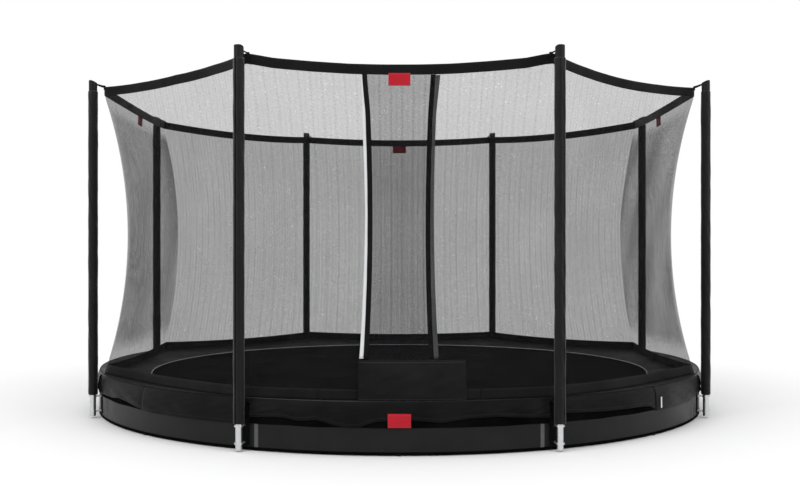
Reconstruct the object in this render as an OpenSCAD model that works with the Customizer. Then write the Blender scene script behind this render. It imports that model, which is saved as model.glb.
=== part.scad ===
// In-ground trampoline with an eight-pole safety net and an overlapping net entrance.
// Units are millimetres. +Z is up, the entrance faces -Y, and z = 0 is the ground that the frame rests on.
// Directions round the ring are angles from +X, so the entrance is at -90 degrees.

/* [Frame] */
// Radius of the frame ring, to the middle of its tubes
rail_r = 2120; // [1900:10:2150]
// Outer diameter of the upper rail
rail_d = 60; // [50:1:64]
// Wall of the frame tubes
rail_wall = 2; // [1.5:0.5:3]
// Height of the middle of the upper rail
rail_z = 222; // [200:1:240]
// Length of the swaged end that plugs into the next rail
spigot_l = 60; // [30:5:120]
// Outer diameter of the lower rail
lower_rail_d = 42; // [36:1:46]
// Width of the square uprights
upright_w = 30; // [20:1:34]

/* [Side plates] */
// Thickness of the plates that hold back the soil
plate_t = 2.5; // [1.5:0.5:3]
// Height of the plates' upper edge
plate_top_z = 225; // [180:5:240]
// Angle of the front seams from the entrance direction
seam_front_a = 21.5; // [18:0.5:22]
// Angle of the side seams from the entrance direction
seam_side_a = 62; // [56:0.5:64]
// Radius of the bead pressed along each seam
bead_r = 3.4; // [2:0.1:3.4]
// Height of the rubber trim on the lower edge
trim_h = 16; // [10:1:30]
// Thickness of the rubber trim
trim_t = 1.5; // [1:0.1:2]
// Width of the clips that carry the plates
clip_w = 12; // [8:1:20]
// Thickness of the clip under the trim
clip_t = 3.7; // [2:0.1:6]

/* [Poles] */
// How far the poles stand outside the frame ring
pole_standoff = 90; // [84:1:110]
// Angle from each side's middle direction to its two poles
pole_a = 23.5; // [22.5:0.1:24.5]
// Outer diameter of the pole tube
pole_d = 38; // [30:1:40]
// Wall of the pole tube
pole_wall = 1.5; // [1:0.5:3]
// Height of the pole tube's lower end
pole_foot_z = 13; // [6:1:30]
// Height of the top of the pole cap
pole_top_z = 2231; // [2000:1:2400]
// Outer diameter of the padded sleeve
sleeve_d = 60; // [50:1:62]
// Height of the sleeve's lower end
sleeve_z = 153; // [150:1:200]
// Height of the cap above the sleeve
cap_h = 70; // [50:1:100]
// Outer diameter of the cap
cap_d = 54; // [48:1:60]
// Slope of the cap's top, down towards the net
cap_slope = 22; // [0:1:30]
// Height of the middle of the lower clamp
clamp_low_z = 46; // [40:1:60]
// Height of the middle of the upper clamp
clamp_high_z = 142; // [120:1:144]
// Outer diameter of a clamp ring
clamp_d = 52; // [48:1:56]
// Height of a clamp
clamp_h = 10; // [8:1:12]
// Width of a clamp's arm
clamp_arm_w = 24; // [20:1:30]
// Diameter of the pinch bolt
bolt_d = 6; // [5:1:8]
// Width of the bracket behind each pole
bracket_w = 64; // [34:1:68]
// Thickness of the bracket
bracket_t = 4; // [3:0.5:5]
// Height of the bracket's lower end
bracket_z = 24; // [22:1:34]
// Gap between the bracket's upper end and the pad above it
bracket_gap = 2.5; // [2:0.5:60]
// Radius of the bracket's corners
bracket_corner = 12; // [4:1:16]

/* [Mat and springs] */
// Room for springs and rings between the mat's edge and the middle of the frame ring
spring_room = 270; // [250:5:330]
// Height of the mat's top
mat_top_z = 236; // [215:1:245]
// Thickness of the mat
mat_t = 2.5; // [1.5:0.5:4]
// Width of the webbing sewn round the mat's edge
mat_web_w = 50; // [30:5:80]
// Number of springs
spring_count = 104; // [88:8:112]
// Outer diameter of a spring
spring_d = 24; // [20:1:26]
// Wire diameter of springs and rings
wire_d = 4; // [3:0.5:5]
// Length of a mat ring, along the spring
ring_l = 26; // [20:1:30]
// Width of a mat ring, along the mat's edge
ring_w = 40; // [30:1:44]

/* [Pad] */
// How far the pad reaches in over the mat
pad_lap = 47; // [30:1:80]
// Height of the pad's top at its inner edge
pad_in_z = 244; // [242:1:252]
// Height of the pad's top at its outer edge
pad_out_z = 290; // [280:1:310]
// Extra height of the pad's crown
pad_crown = 4; // [0:1:10]
// Height of the skirt's lower edge
skirt_z = 151; // [149:1:180]
// Thickness of the skirt
skirt_t = 3.5; // [3:0.5:5]
// Depth of the skirt's folds at its lower edge
skirt_fold = 8; // [0:1:10]
// Width of the slit in the skirt behind each pole
slit_w = 76; // [70:1:90]
// Diameter of the piping on the pad's inner edge
piping_d = 5; // [3:0.5:6]

/* [Net] */
// How far the net's corners stand inside the circle of the poles
net_inset = 74; // [70:1:120]
// How far the net draws in at half height
net_waist = 150; // [0:5:200]
// How far the top edge bows in between poles
net_bow = 48; // [0:1:80]
// Thickness of the net
net_t = 1.5; // [1:0.5:3]
// How far the top band's upper edge lies below the pole tops
band_drop = 50; // [44:1:90]
// Height of the top band
band_h = 58; // [40:1:80]
// Thickness of the top band and of the lower hem
band_t = 3; // [2:0.5:4]
// How far the top band sags between poles
band_sag = 36; // [0:1:60]
// Height of the black hem along the net's lower edge
hem_h = 60; // [40:1:80]

/* [Entrance] */
// Half width of the entrance, between the roots of its flaps
flap_root_x = 450; // [400:10:560]
// Distance of the flaps' free edges from the middle
flap_edge_x = 200; // [160:1:230]
// How far the free edges draw in at half height
flap_edge_bow = 22; // [0:1:40]
// Distance of each flap from the net's middle surface
flap_gap = 9; // [6:0.5:12]
// Width of the binding on a flap's free edge
binding_w = 26; // [16:1:30]
// Width of the strip beside the binding, at its lower end
strip_w = 27; // [10:1:32]
// Thickness of the bindings and strips
binding_t = 3; // [2:0.5:4]
// Left end of the threshold panel
threshold_x0 = -228; // [-300:1:-210]
// Right end of the threshold panel
threshold_x1 = 371; // [260:1:400]
// Height of the threshold panel
threshold_h = 220; // [150:5:260]
// Thickness of the threshold panel
threshold_t = 2; // [1:0.5:3]

/* [Tabs] */
// Width of the tabs on the top band
band_tab_w = 123; // [60:1:160]
// Height of the tabs on the top band
band_tab_h = 72; // [40:1:100]
// Width of the tab on the front skirt
skirt_tab_w = 125; // [60:1:160]
// Height of the tab on the front skirt
skirt_tab_h = 75; // [40:1:90]
// Thickness of the tabs
tab_t = 1.2; // [0.8:0.1:2]

/* [Hidden] */
$fn = 64;
// clearance between pieces that lie against each other
seat = 0.3;
// running clearance of a bolt in its hole
bolt_play = 0.1;
front_a = -90;
sides = 8;
// poles counter-clockwise from the one at the front right
pole_angles = [for (q = [0:3]) each [front_a + 90 * q + pole_a, front_a + 90 * q + 90 - pole_a]];
pole_ring_r = rail_r + pole_standoff;
// the middle direction of each net panel; panel 8 is the entrance
panel_mid = [for (k = [0:sides - 1]) front_a + 45 + 45 * k];
function panel_half(k) = k % 2 == 0 ? 45 - pole_a : pole_a;

// frame and plates
lower_rail_z = lower_rail_d / 2;
plate_in_r = rail_r + rail_d / 2 + seat;
plate_out_r = plate_in_r + plate_t;
trim_in_r = plate_in_r - trim_t - seat / 2;
trim_out_r = plate_out_r + trim_t + seat / 2;
trim_z = clip_t + seat;
plate_z = trim_z + trim_t + seat;
plate_seams = [
    front_a - seam_front_a, front_a + seam_front_a, front_a + seam_side_a, front_a + 180 - seam_side_a,
    front_a + 180 - seam_front_a, front_a + 180 + seam_front_a, front_a + 180 + seam_side_a,
    front_a + 360 - seam_side_a, front_a + 360 - seam_front_a
];

bracket_r = plate_out_r + seat;

// mat and springs
mat_r = rail_r - spring_room;
rail_top_z = rail_z + rail_d / 2;
ring_z = mat_top_z - mat_t / 2 - wire_d / 2;
ring_in_r = mat_r + seat;
ring_out_r = ring_in_r + ring_l;
spring_z = ring_z + wire_d / 2 - 1;
spring_in_r = ring_out_r + seat;
spring_out_r = rail_r - sqrt(pow(rail_d / 2 + seat, 2) - pow(rail_z - spring_z + wire_d / 2, 2));
spring_hook = 12;
spring_neck = 10;
spring_step = 360 / spring_count;

// pad
pad_play = 0.5;
pad_spring_play = 2;
pad_bottom_z = mat_top_z + seat;
pad_in_r = mat_r - pad_lap;
pad_out_r = plate_out_r + bead_r + seat;
pad_spring_z = spring_z + spring_d / 2 + pad_spring_play;
pad_rail_z = rail_top_z + pad_play;
bracket_top_z = pad_rail_z - bracket_gap;
pad_round = 16;
pad_ramp = 20;
pad_steps = 40;
pad_chord = cos(45 / pad_steps);
function pad_s(r) = (r - pad_in_r) / (pad_out_r - pad_in_r);
function crown_z(r) =
    pad_in_z + (pad_out_z - pad_in_z) * pad_s(r) + pad_crown * 4 * pad_s(r) * (1 - pad_s(r));
// radii of the creases in the pad's top, and the height of the top at any radius
pad_rs = [pad_in_r, mat_r + pad_ramp, (mat_r + pad_ramp + rail_r - rail_d) / 2, rail_r - rail_d];
pad_face = concat([for (r = pad_rs) [r, crown_z(r)]], [[pad_out_r + skirt_t - pad_round, pad_out_z]]);
function pad_top_z(r) = lookup(r, pad_face);
// the skirt's folds repeat every quarter turn and vanish in front of the four middle directions
function fold(a) = skirt_fold * (0.5 - 0.35 * cos(32 * a) - 0.15 * cos(20 * a));
// the slits end just above the brackets; their edges run from slit_a to slit_edge_a each side of a pole
slit_top_z = bracket_top_z + 1.5;
slit_a = slit_w / 2 / pad_out_r * 180 / PI;
slit_edge_a = slit_a + seat / pad_out_r * 180 / PI;

// net: x runs along a panel, t from the hem's lower edge (0) to the top band (1), off outwards
net_corner_r = pole_ring_r - net_inset;
band_top_z = pole_top_z - band_drop;
band_z = band_top_z - band_h;
hem_lift = 0.6;
function waist_r(t) = net_corner_r - net_waist * 4 * t * (1 - t);
function half_w(half, t) = waist_r(t) * sin(half);
function net_u(half, x, t) = x / half_w(half, t);
function net_low_z(half, x, off) = pad_top_z(norm([net_corner_r * cos(half) + off, x])) + hem_lift;
function net_high_z(u) = band_z - seat - band_sag * (1 - u * u);
function net_y(half, x, t) = waist_r(t) * cos(half) - net_bow * (1 - pow(net_u(half, x, t), 2)) * t * t;
function net_z(half, x, t, off) = net_low_z(half, x, off) * (1 - t) + net_high_z(net_u(half, x, t)) * t;
// the ends of a panel are mitred, so a point that lies further out also lies further along
function net_point(half, x, t, off) =
    [net_y(half, x, t) + off, x * (1 + off / (waist_r(t) * cos(half))), net_z(half, x, t, off)];
net_height = band_z - pad_out_z;
hem_top = hem_h / net_height;
hem_gap = seat / net_height;
net_rows = 12;
net_cols = 8;
front_cols = 2;

// entrance
flap_cols = 6;
// the flaps come together under the top band and part within a ramp from their roots
flap_top_gap = 1.2;
flap_ramp = 120;
flap_drop = 1;
binding_drop = 9;
strip_lift = 8;
flap_top = 1 - flap_drop / net_height;
binding_top = 1 - binding_drop / net_height;
binding_low = (threshold_h + strip_lift) / net_height;
threshold_top = threshold_h / net_height;
// the net's facets stand up to this far proud of its curve
facet_play = 1;
threshold_off = flap_gap + net_t / 2 + facet_play + seat + threshold_t / 2;
function bowed(t) = flap_edge_x - flap_edge_bow * 4 * t * (1 - t);
function flap_off(x, t) =
    (flap_gap - (flap_gap - flap_top_gap) * pow(t, 8)) * min(1, max(0, (flap_root_x - abs(x)) / flap_ramp));
// width of each strip along its edge, as shares of strip_w
outer_strip = [[0, 1], [0.5, 0.52], [0.85, 0.7], [1, 0.12]];
inner_strip = [[0, 1.1], [0.5, 0.74], [1, 0.63]];

// ---- shared shapes ----

// part of a turned ring, from angle a0 to a1
module arc(a0, a1) {
    rotate([0, 0, a0]) rotate_extrude(angle = a1 - a0, $fn = 180) children();
}

// the cut face of a tube, at radius r and height z
module tube_face(r, z, d, wall) {
    translate([r, z]) difference() {
        circle(d = d);
        circle(d = d - 2 * wall);
    }
}

// children are drawn at radius 0 along +X and carried out to radius r at angle a
module at_ring(a, r) {
    rotate([0, 0, a]) translate([r, 0, 0]) children();
}

// a closed sheet between two grids of points, front[i][j] and back[i][j]
module sheet(front, back) {
    rows = len(front);
    cols = len(front[0]);
    count = rows * cols;
    points = concat([for (line = front) each line], [for (line = back) each line]);
    face_quads = [for (i = [0:rows - 2], j = [0:cols - 2])
        [i * cols + j, i * cols + j + 1, (i + 1) * cols + j + 1, (i + 1) * cols + j]];
    rim = concat(
        [for (i = [0:rows - 2]) [(i + 1) * cols, i * cols]],
        [for (i = [0:rows - 2]) [i * cols + cols - 1, (i + 1) * cols + cols - 1]],
        [for (j = [0:cols - 2]) [j, j + 1]],
        [for (j = [0:cols - 2]) [(rows - 1) * cols + j + 1, (rows - 1) * cols + j]]
    );
    back_quads = [for (q = face_quads) [for (n = [0, 3, 2, 1]) q[n] + count]];
    rim_quads = [for (e = rim) [e[1], e[0], e[0] + count, e[1] + count]];
    quads = concat(face_quads, back_quads, rim_quads);
    polyhedron(points, [for (q = quads) each [[q[0], q[1], q[2]], [q[0], q[2], q[3]]]]);
}

// a piece of net, hem or band on one panel, with its left and right ends given for each row
module net_sheet(half, lefts, rights, ts, offs, thick, cols) {
    grid = [for (side = [0.5, -0.5])
        [for (i = [0:len(ts) - 1])
            [for (j = [0:cols])
                let (x = lefts[i] + (rights[i] - lefts[i]) * j / cols, off = offs[i][j] + side * thick)
                net_point(half, x, ts[i], off)]]];
    sheet(grid[0], grid[1]);
}

function steps(low, high, count) = [for (i = [0:count]) low + (high - low) * i / count];
function zeros(ts, cols) = [for (t = ts) [for (j = [0:cols]) 0]];

// a sheet that reaches from crease to crease
module full_panel(half, low, high, thick, rows) {
    ts = steps(low, high, rows);
    ends = [for (t = ts) half_w(half, t) - seat / 2];
    net_sheet(half, -ends, ends, ts, zeros(ts, net_cols), thick, net_cols);
}

// a sheet on the entrance panel, between the flap's root and the crease, on the side given by its sign
module front_panel(side, low, high, thick, rows) {
    ts = steps(low, high, rows);
    roots = [for (t = ts) side * (flap_root_x + seat / 2)];
    creases = [for (t = ts) side * (half_w(pole_a, t) - seat / 2)];
    lefts = side > 0 ? roots : creases;
    rights = side > 0 ? creases : roots;
    net_sheet(pole_a, lefts, rights, ts, zeros(ts, front_cols), thick, front_cols);
}

// ---- frame ----

module upper_rail(i) {
    a0 = front_a + 45 * (i - 1);
    a1 = a0 + 45;
    mm = 180 / PI / rail_r;
    bore_d = rail_d - 2 * rail_wall;
    spigot_d = bore_d - 2 * seat;
    plug_d = rail_d - rail_wall;
    color("gainsboro") {
        arc(a0 + seat * mm, a1) tube_face(rail_r, rail_z, rail_d, rail_wall);
        arc(a1 - 8 * mm, a1 - mm) tube_face(rail_r, rail_z, plug_d, (plug_d - spigot_d) / 2 + rail_wall / 2);
        arc(a1 - 5 * mm, a1 + spigot_l * mm) tube_face(rail_r, rail_z, spigot_d, rail_wall);
    }
}

module lower_rails() {
    butt_a = seat / 2 / rail_r * 180 / PI;
    color("gainsboro") for (i = [0:sides - 1])
        arc(front_a + 45 * i + butt_a, front_a + 45 * (i + 1) - butt_a)
            tube_face(rail_r, lower_rail_z, lower_rail_d, rail_wall);
}

module frame_uprights() {
    low = lower_rail_d + seat;
    high = rail_z - rail_d / 2 - seat;
    color("gainsboro") for (a = concat(pole_angles, panel_mid))
        at_ring(a, rail_r) translate([0, 0, low]) linear_extrude(high - low) difference() {
            square(upright_w, center = true);
            square(upright_w - 2 * rail_wall, center = true);
        }
}

// ---- plates that hold back the soil ----

module side_plate(i) {
    a0 = plate_seams[i - 1];
    a1 = plate_seams[i];
    butt_a = seat / 2 / plate_in_r * 180 / PI;
    bead_a = (bead_r + seat) / plate_out_r * 180 / PI;
    bead_top = skirt_z - 4;
    color("dimgray") difference() {
        union() {
            arc(a0 + butt_a, a1 - butt_a)
                translate([plate_in_r, plate_z]) square([plate_t, plate_top_z - plate_z]);
            intersection() {
                at_ring(a0 + bead_a, plate_out_r) translate([0, 0, trim_z + trim_h + seat])
                    cylinder(r = bead_r, h = bead_top - trim_z - trim_h - seat);
                arc(a0, a1) translate([plate_in_r + plate_t / 2, plate_z])
                    square([plate_t / 2 + bead_r, plate_top_z]);
            }
        }
        for (a = pole_angles, z = [clamp_low_z, clamp_high_z])
            at_ring(a, plate_in_r) translate([plate_t / 2, 0, z])
                cube([4 * plate_t, clamp_arm_w + 2, clamp_h + 2], center = true);
    }
}

module plate_edge_trims() {
    butt_a = seat / 2 / plate_in_r * 180 / PI;
    color("black") for (i = [1:sides])
        arc(plate_seams[i - 1] + butt_a, plate_seams[i] - butt_a)
            translate([trim_in_r, trim_z]) difference() {
                square([trim_out_r - trim_in_r, trim_h]);
                translate([trim_t, trim_t]) square([trim_out_r - trim_in_r - 2 * trim_t, trim_h]);
            }
}

module plate_clips() {
    heel = rail_r + lower_rail_d / 2 + seat;
    inner = trim_in_r - seat;
    outer = trim_out_r + seat;
    outline = [
        [heel, 0], [outer + 3, 0], [outer + 3, clip_t + 8], [outer, clip_t + 8],
        [outer, clip_t], [inner, clip_t], [inner, lower_rail_z + 10], [heel, lower_rail_z + 10]
    ];
    color("black") for (a = panel_mid)
        rotate([0, 0, a]) translate([0, clip_w / 2, 0]) rotate([90, 0, 0])
            linear_extrude(clip_w) polygon(outline);
}

// ---- poles ----

module pole(i) {
    top_z = pole_top_z - cap_h / 2;
    color("silver") at_ring(pole_angles[i - 1], pole_ring_r) translate([0, 0, pole_foot_z]) difference() {
        cylinder(d = pole_d, h = top_z - pole_foot_z);
        translate([0, 0, -1]) cylinder(d = pole_d - 2 * pole_wall, h = top_z - pole_foot_z + 2);
    }
}

bolt_x = -(clamp_d / 2 + bolt_d);
module pole_clamps() {
    arm_l = pole_ring_r - rail_r - upright_w / 2 - seat;
    bore_d = pole_d + 2 * seat;
    color("silver") for (a = pole_angles, z = [clamp_low_z, clamp_high_z])
        at_ring(a, pole_ring_r) translate([0, 0, z - clamp_h / 2]) difference() {
            union() {
                cylinder(d = clamp_d, h = clamp_h);
                translate([-arm_l, -clamp_arm_w / 2, 0]) cube([arm_l, clamp_arm_w, clamp_h]);
            }
            translate([0, 0, -1]) cylinder(d = bore_d, h = clamp_h + 2);
            translate([bolt_x - bolt_d, -1, -1]) cube([-bolt_x + bolt_d, 2, clamp_h + 2]);
            translate([bolt_x, 0, clamp_h / 2]) rotate([90, 0, 0])
                cylinder(d = bolt_d + 2 * bolt_play, h = clamp_arm_w + 2, center = true);
        }
}

module clamp_bolts() {
    head_d = bolt_d * 1.6;
    head_h = bolt_d * 0.7;
    color("silver") for (a = pole_angles, z = [clamp_low_z, clamp_high_z])
        at_ring(a, pole_ring_r) translate([bolt_x, 0, z]) rotate([90, 0, 0]) {
            cylinder(d = bolt_d, h = clamp_arm_w + 2 * head_h, center = true);
            for (side = [-1, 1])
                translate([0, 0, side * (clamp_arm_w / 2 + seat + head_h / 2)])
                    cylinder(d = head_d, h = head_h, center = true, $fn = 6);
        }
}

// a flat plate with rounded corners behind each pole, with holes for the arms of its clamps
module pole_brackets() {
    half_w = bracket_w / 2;
    height = bracket_top_z - bracket_z;
    corner_zs = [bracket_z + bracket_corner, bracket_top_z - bracket_corner];
    color("black") for (a = pole_angles)
        at_ring(a, bracket_r) rotate([90, 0, 90]) linear_extrude(bracket_t) difference() {
            union() {
                translate([bracket_corner - half_w, bracket_z])
                    square([bracket_w - 2 * bracket_corner, height]);
                translate([-half_w, corner_zs[0]]) square([bracket_w, height - 2 * bracket_corner]);
                for (x = [bracket_corner - half_w, half_w - bracket_corner], z = corner_zs)
                    translate([x, z]) circle(bracket_corner);
            }
            for (z = [clamp_low_z, clamp_high_z]) translate([0, z])
                square([clamp_arm_w + 2 * seat, clamp_h + 2 * seat], center = true);
        }
}

module pole_sleeves() {
    top_z = pole_top_z - cap_h;
    color("black") for (a = pole_angles)
        at_ring(a, pole_ring_r) translate([0, 0, sleeve_z]) difference() {
            cylinder(d = sleeve_d, h = top_z - sleeve_z);
            translate([0, 0, -1]) cylinder(d = pole_d + 2 * seat, h = top_z - sleeve_z + 2);
        }
}

// a cap with a bore for the pole and a top that slopes down towards the net
module pole_caps() {
    low = pole_top_z - cap_h + seat;
    bore_h = cap_h / 2 + seat;
    edge = 4;
    color("black") for (a = pole_angles)
        at_ring(a, pole_ring_r) difference() {
            translate([0, 0, low]) rotate_extrude() difference() {
                union() {
                    square([cap_d / 2 - edge, cap_h - seat]);
                    square([cap_d / 2, cap_h - seat - edge]);
                    translate([cap_d / 2 - edge, cap_h - seat - edge]) circle(edge, $fn = 32);
                }
                square([pole_d / 2 + seat, bore_h]);
                translate([-cap_d, -1]) square([cap_d, 2 * cap_h]);
            }
            translate([cap_d / 2 - 2 * edge, 0, pole_top_z]) rotate([0, -cap_slope, 0])
                translate([-2 * cap_d, -cap_d, 0]) cube([3 * cap_d, 2 * cap_d, cap_d]);
        }
}

// a cord loop that ties the top band to the cap
module cap_straps() {
    width = cap_d * 0.3;
    cord = 4;
    start = [pole_ring_r - cap_d / 2 - seat, pole_top_z - cap_h / 2 + cord];
    finish = [net_corner_r, band_top_z + 2 * seat + cord / 2];
    tilt = atan2(start[1] - finish[1], start[0] - finish[0]);
    length = norm(start - finish) - cord / 2 * tan(tilt);
    color("black") for (a = pole_angles)
        rotate([0, 0, a]) translate([finish[0], 0, finish[1]]) rotate([0, -tilt, 0])
            translate([0, 0, -cord / 2]) linear_extrude(cord) difference() {
                stadium(length, width);
                translate([cord, 0]) stadium(length - 2 * cord, width - 2 * cord);
            }
}

// a slot shape from x = 0 to x = length
module stadium(length, width) {
    for (x = [width / 2, length - width / 2]) translate([x, 0]) circle(d = width);
    translate([width / 2, -width / 2]) square([length - width, width]);
}

// ---- mat and springs ----

module springs() {
    length = spring_out_r - spring_in_r;
    hook_r = wire_d / 2;
    body_r = spring_d / 2;
    shoulder = spring_hook + spring_neck;
    outline = [
        [0, 0], [hook_r, 0], [hook_r, spring_hook], [body_r, shoulder], [body_r, length - shoulder],
        [hook_r, length - spring_hook], [hook_r, length], [0, length]
    ];
    color("silver") for (n = [0:spring_count - 1])
        at_ring((n + 0.5) * spring_step, spring_in_r) translate([0, 0, spring_z]) rotate([0, 90, 0])
            rotate_extrude($fn = 24) polygon(outline);
}

module jump_mat() {
    color("black") translate([0, 0, mat_top_z - mat_t]) {
        cylinder(r = mat_r, h = mat_t, $fn = 180);
        translate([0, 0, -wire_d / 2]) difference() {
            cylinder(r = mat_r, h = wire_d / 2 + mat_t / 2, $fn = 180);
            translate([0, 0, -1]) cylinder(r = mat_r - mat_web_w, h = wire_d + 2, $fn = 180);
        }
    }
}

module mat_rings() {
    outer = [[0, -ring_w / 2], [ring_l, -wire_d], [ring_l, wire_d], [0, ring_w / 2]];
    inner = [[wire_d, -ring_w / 2 + 1.5 * wire_d], [ring_l - wire_d, -1], [ring_l - wire_d, 1],
        [wire_d, ring_w / 2 - 1.5 * wire_d]];
    color("silver") for (n = [0:spring_count - 1])
        at_ring((n + 0.5) * spring_step, ring_in_r) translate([0, 0, ring_z - wire_d / 2])
            linear_extrude(wire_d) difference() {
                polygon(outer);
                polygon(inner);
            }
}

// ---- pad ----

// points on the cut face of the pad at angle a: seven along its underside, then eight along its top
function pad_outline(a, low) = let (
    out = pad_out_r,
    top = pad_out_r + skirt_t,
    f = fold(a) * (pad_rail_z - low) / (pad_rail_z - skirt_z),
    under = [
        [pad_in_r, pad_bottom_z], [mat_r + pad_round, pad_bottom_z],
        [mat_r + pad_round + pad_ramp, pad_spring_z], [rail_r - rail_d / 2 - pad_ramp, pad_spring_z],
        [rail_r - rail_d / 2, pad_rail_z], [out, pad_rail_z], [out + f, low]
    ],
    shoulder = [top - pad_round / 4, pad_out_z - 0.7 * pad_round],
    edge = [[top + f, low], [top, pad_out_z - 2 * pad_round], shoulder]
) concat(under, edge, [for (n = [4:-1:0]) pad_face[n]]);
// triangles that fill the cut face
pad_cut = [
    [14, 0, 13], [0, 1, 13], [1, 2, 13], [2, 12, 13], [2, 3, 12], [3, 11, 12], [3, 4, 11],
    [4, 10, 11], [4, 5, 10], [5, 9, 10], [5, 8, 9], [5, 6, 8], [6, 7, 8]
];

module pad_section(i) {
    butt_a = seat / 2 / pad_in_r * 180 / PI;
    middle = front_a + 90 * (i - 1);
    grid = steps(middle - 45 + butt_a, middle + 45 - butt_a, pad_steps);
    poles = [middle - pole_a, middle + pole_a];
    slits = [for (p = poles, e = [-slit_edge_a, -slit_a, slit_a, slit_edge_a]) p + e];
    angles = [for (n = [0:pad_steps]) each concat(
        [grid[n]], [for (e = slits) if (n < pad_steps && e > grid[n] && e < grid[n + 1]) e])];
    in_slit = [for (a = angles) min([for (p = poles) abs(a - p)]) < slit_a + 0.001];
    outlines = [for (n = [0:len(angles) - 1]) pad_outline(angles[n], in_slit[n] ? slit_top_z : skirt_z)];
    rings = [for (n = [0:len(angles) - 1])
        let (a = angles[n]) [for (p = outlines[n]) [p[0] * cos(a), p[0] * sin(a), p[1]]]];
    count = len(rings[0]);
    last = (len(angles) - 1) * count;
    // both faces of the skirt are split along the same diagonals, so that they never cross
    skin = [for (n = [0:len(angles) - 2], j = [0:count - 1])
        let (p = n * count + j, q = n * count + (j + 1) % count, low = j < 7)
        each [[p, q, low ? q + count : p + count], [low ? p : q, q + count, p + count]]];
    ends = concat(
        [for (c = pad_cut) [c[2], c[1], c[0]]],
        [for (c = pad_cut) [last + c[0], last + c[1], last + c[2]]]
    );
    color("black") polyhedron([for (ring = rings) each ring], concat(skin, ends));
}

module pad_piping() {
    color("lightgray") rotate_extrude($fn = 180)
        translate([pad_in_r * pad_chord - seat - piping_d / 2, pad_in_z - piping_d / 2]) circle(d = piping_d);
}

// ---- net ----

module net_panel(k) {
    color("dimgray", 0.45) rotate([0, 0, panel_mid[k - 1]])
        full_panel(panel_half(k - 1), hem_top + hem_gap, 1, net_t, net_rows);
}

module net_front(side) {
    color("dimgray", 0.45) rotate([0, 0, front_a])
        front_panel(side, hem_top + hem_gap, 1, net_t, net_rows);
}

module net_hem() {
    color("black") {
        for (k = [1:sides - 1])
            rotate([0, 0, panel_mid[k - 1]]) full_panel(panel_half(k - 1), 0, hem_top, band_t, 1);
        for (side = [-1, 1])
            rotate([0, 0, front_a]) front_panel(side, 0, hem_top, band_t, 1);
    }
}

module top_band() {
    color("black") for (k = [0:sides - 1]) {
        half = panel_half(k);
        reach = half_w(half, 1) - seat / 2;
        xs = steps(-reach, reach, net_cols);
        grid = [for (off = [band_t / 2, -band_t / 2])
            [for (rise = [0, band_h]) [for (x = xs) net_point(half, x, 1, off) + [0, 0, rise + seat]]]];
        rotate([0, 0, panel_mid[k]]) sheet(grid[0], grid[1]);
    }
}

// ---- entrance ----

// one flap's net, from its root to its binding; side is +1 for the outer flap and -1 for the inner one
module flap_net(side) {
    ts = steps(0, flap_top, net_rows);
    edges = [for (t = ts) -side * (bowed(t) - binding_w - seat)];
    roots = [for (t = ts) side * (flap_root_x - seat / 2)];
    lefts = side > 0 ? edges : roots;
    rights = side > 0 ? roots : edges;
    offs = [for (i = [0:net_rows]) [for (j = [0:flap_cols])
        side * flap_off(lefts[i] + (rights[i] - lefts[i]) * j / flap_cols, ts[i])]];
    color("dimgray", 0.45) rotate([0, 0, front_a])
        net_sheet(pole_a, lefts, rights, ts, offs, net_t, flap_cols);
}

// a narrow band along the flap's free edge; near and far are its distances from the edge, for each row
module flap_band(side, near, far) {
    ts = steps(binding_low, binding_top, net_rows);
    nears = [for (i = [0:net_rows]) -side * (bowed(ts[i]) + near[i])];
    fars = [for (i = [0:net_rows]) -side * (bowed(ts[i]) + far[i])];
    lefts = side > 0 ? fars : nears;
    rights = side > 0 ? nears : fars;
    offs = [for (t = ts) [for (j = [0:1]) side * flap_off(0, t)]];
    rotate([0, 0, front_a]) net_sheet(pole_a, lefts, rights, ts, offs, binding_t, 1);
}

module flap_binding(side) {
    color("black") flap_band(side, [for (i = [0:net_rows]) -binding_w], [for (i = [0:net_rows]) 0]);
}

module flap_strip(side, shares) {
    far = [for (i = [0:net_rows]) seat + strip_w * lookup(i / net_rows, shares)];
    flap_band(side, [for (i = [0:net_rows]) seat], far);
}

module outer_flap_strip() {
    color("gainsboro") flap_strip(1, outer_strip);
}

module inner_flap_strip() {
    color("dimgray") flap_strip(-1, inner_strip);
}

module threshold_panel() {
    ts = steps(0, threshold_top, 3);
    lefts = [for (t = ts) threshold_x0];
    rights = [for (t = ts) threshold_x1];
    offs = [for (t = ts) [for (j = [0:flap_cols]) threshold_off]];
    color("black") rotate([0, 0, front_a]) net_sheet(pole_a, lefts, rights, ts, offs, threshold_t, flap_cols);
}

module label_tabs() {
    half = pole_a;
    band_face = net_y(half, 0, 1) + band_t / 2;
    band_low = band_z - band_sag;
    lip = 10;
    skirt_face = pad_out_r + skirt_t + fold(front_a) + 3 * seat;
    color("crimson") {
        for (q = [0:3])
            rotate([0, 0, front_a + 90 * q])
                translate([band_face + 4 * seat, -band_tab_w / 2, band_low + lip - band_tab_h])
                    cube([tab_t, band_tab_w, band_tab_h]);
        rotate([0, 0, front_a]) translate([skirt_face, -skirt_tab_w / 2, skirt_z + 4])
            cube([tab_t, skirt_tab_w, skirt_tab_h]);
    }
}

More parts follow.
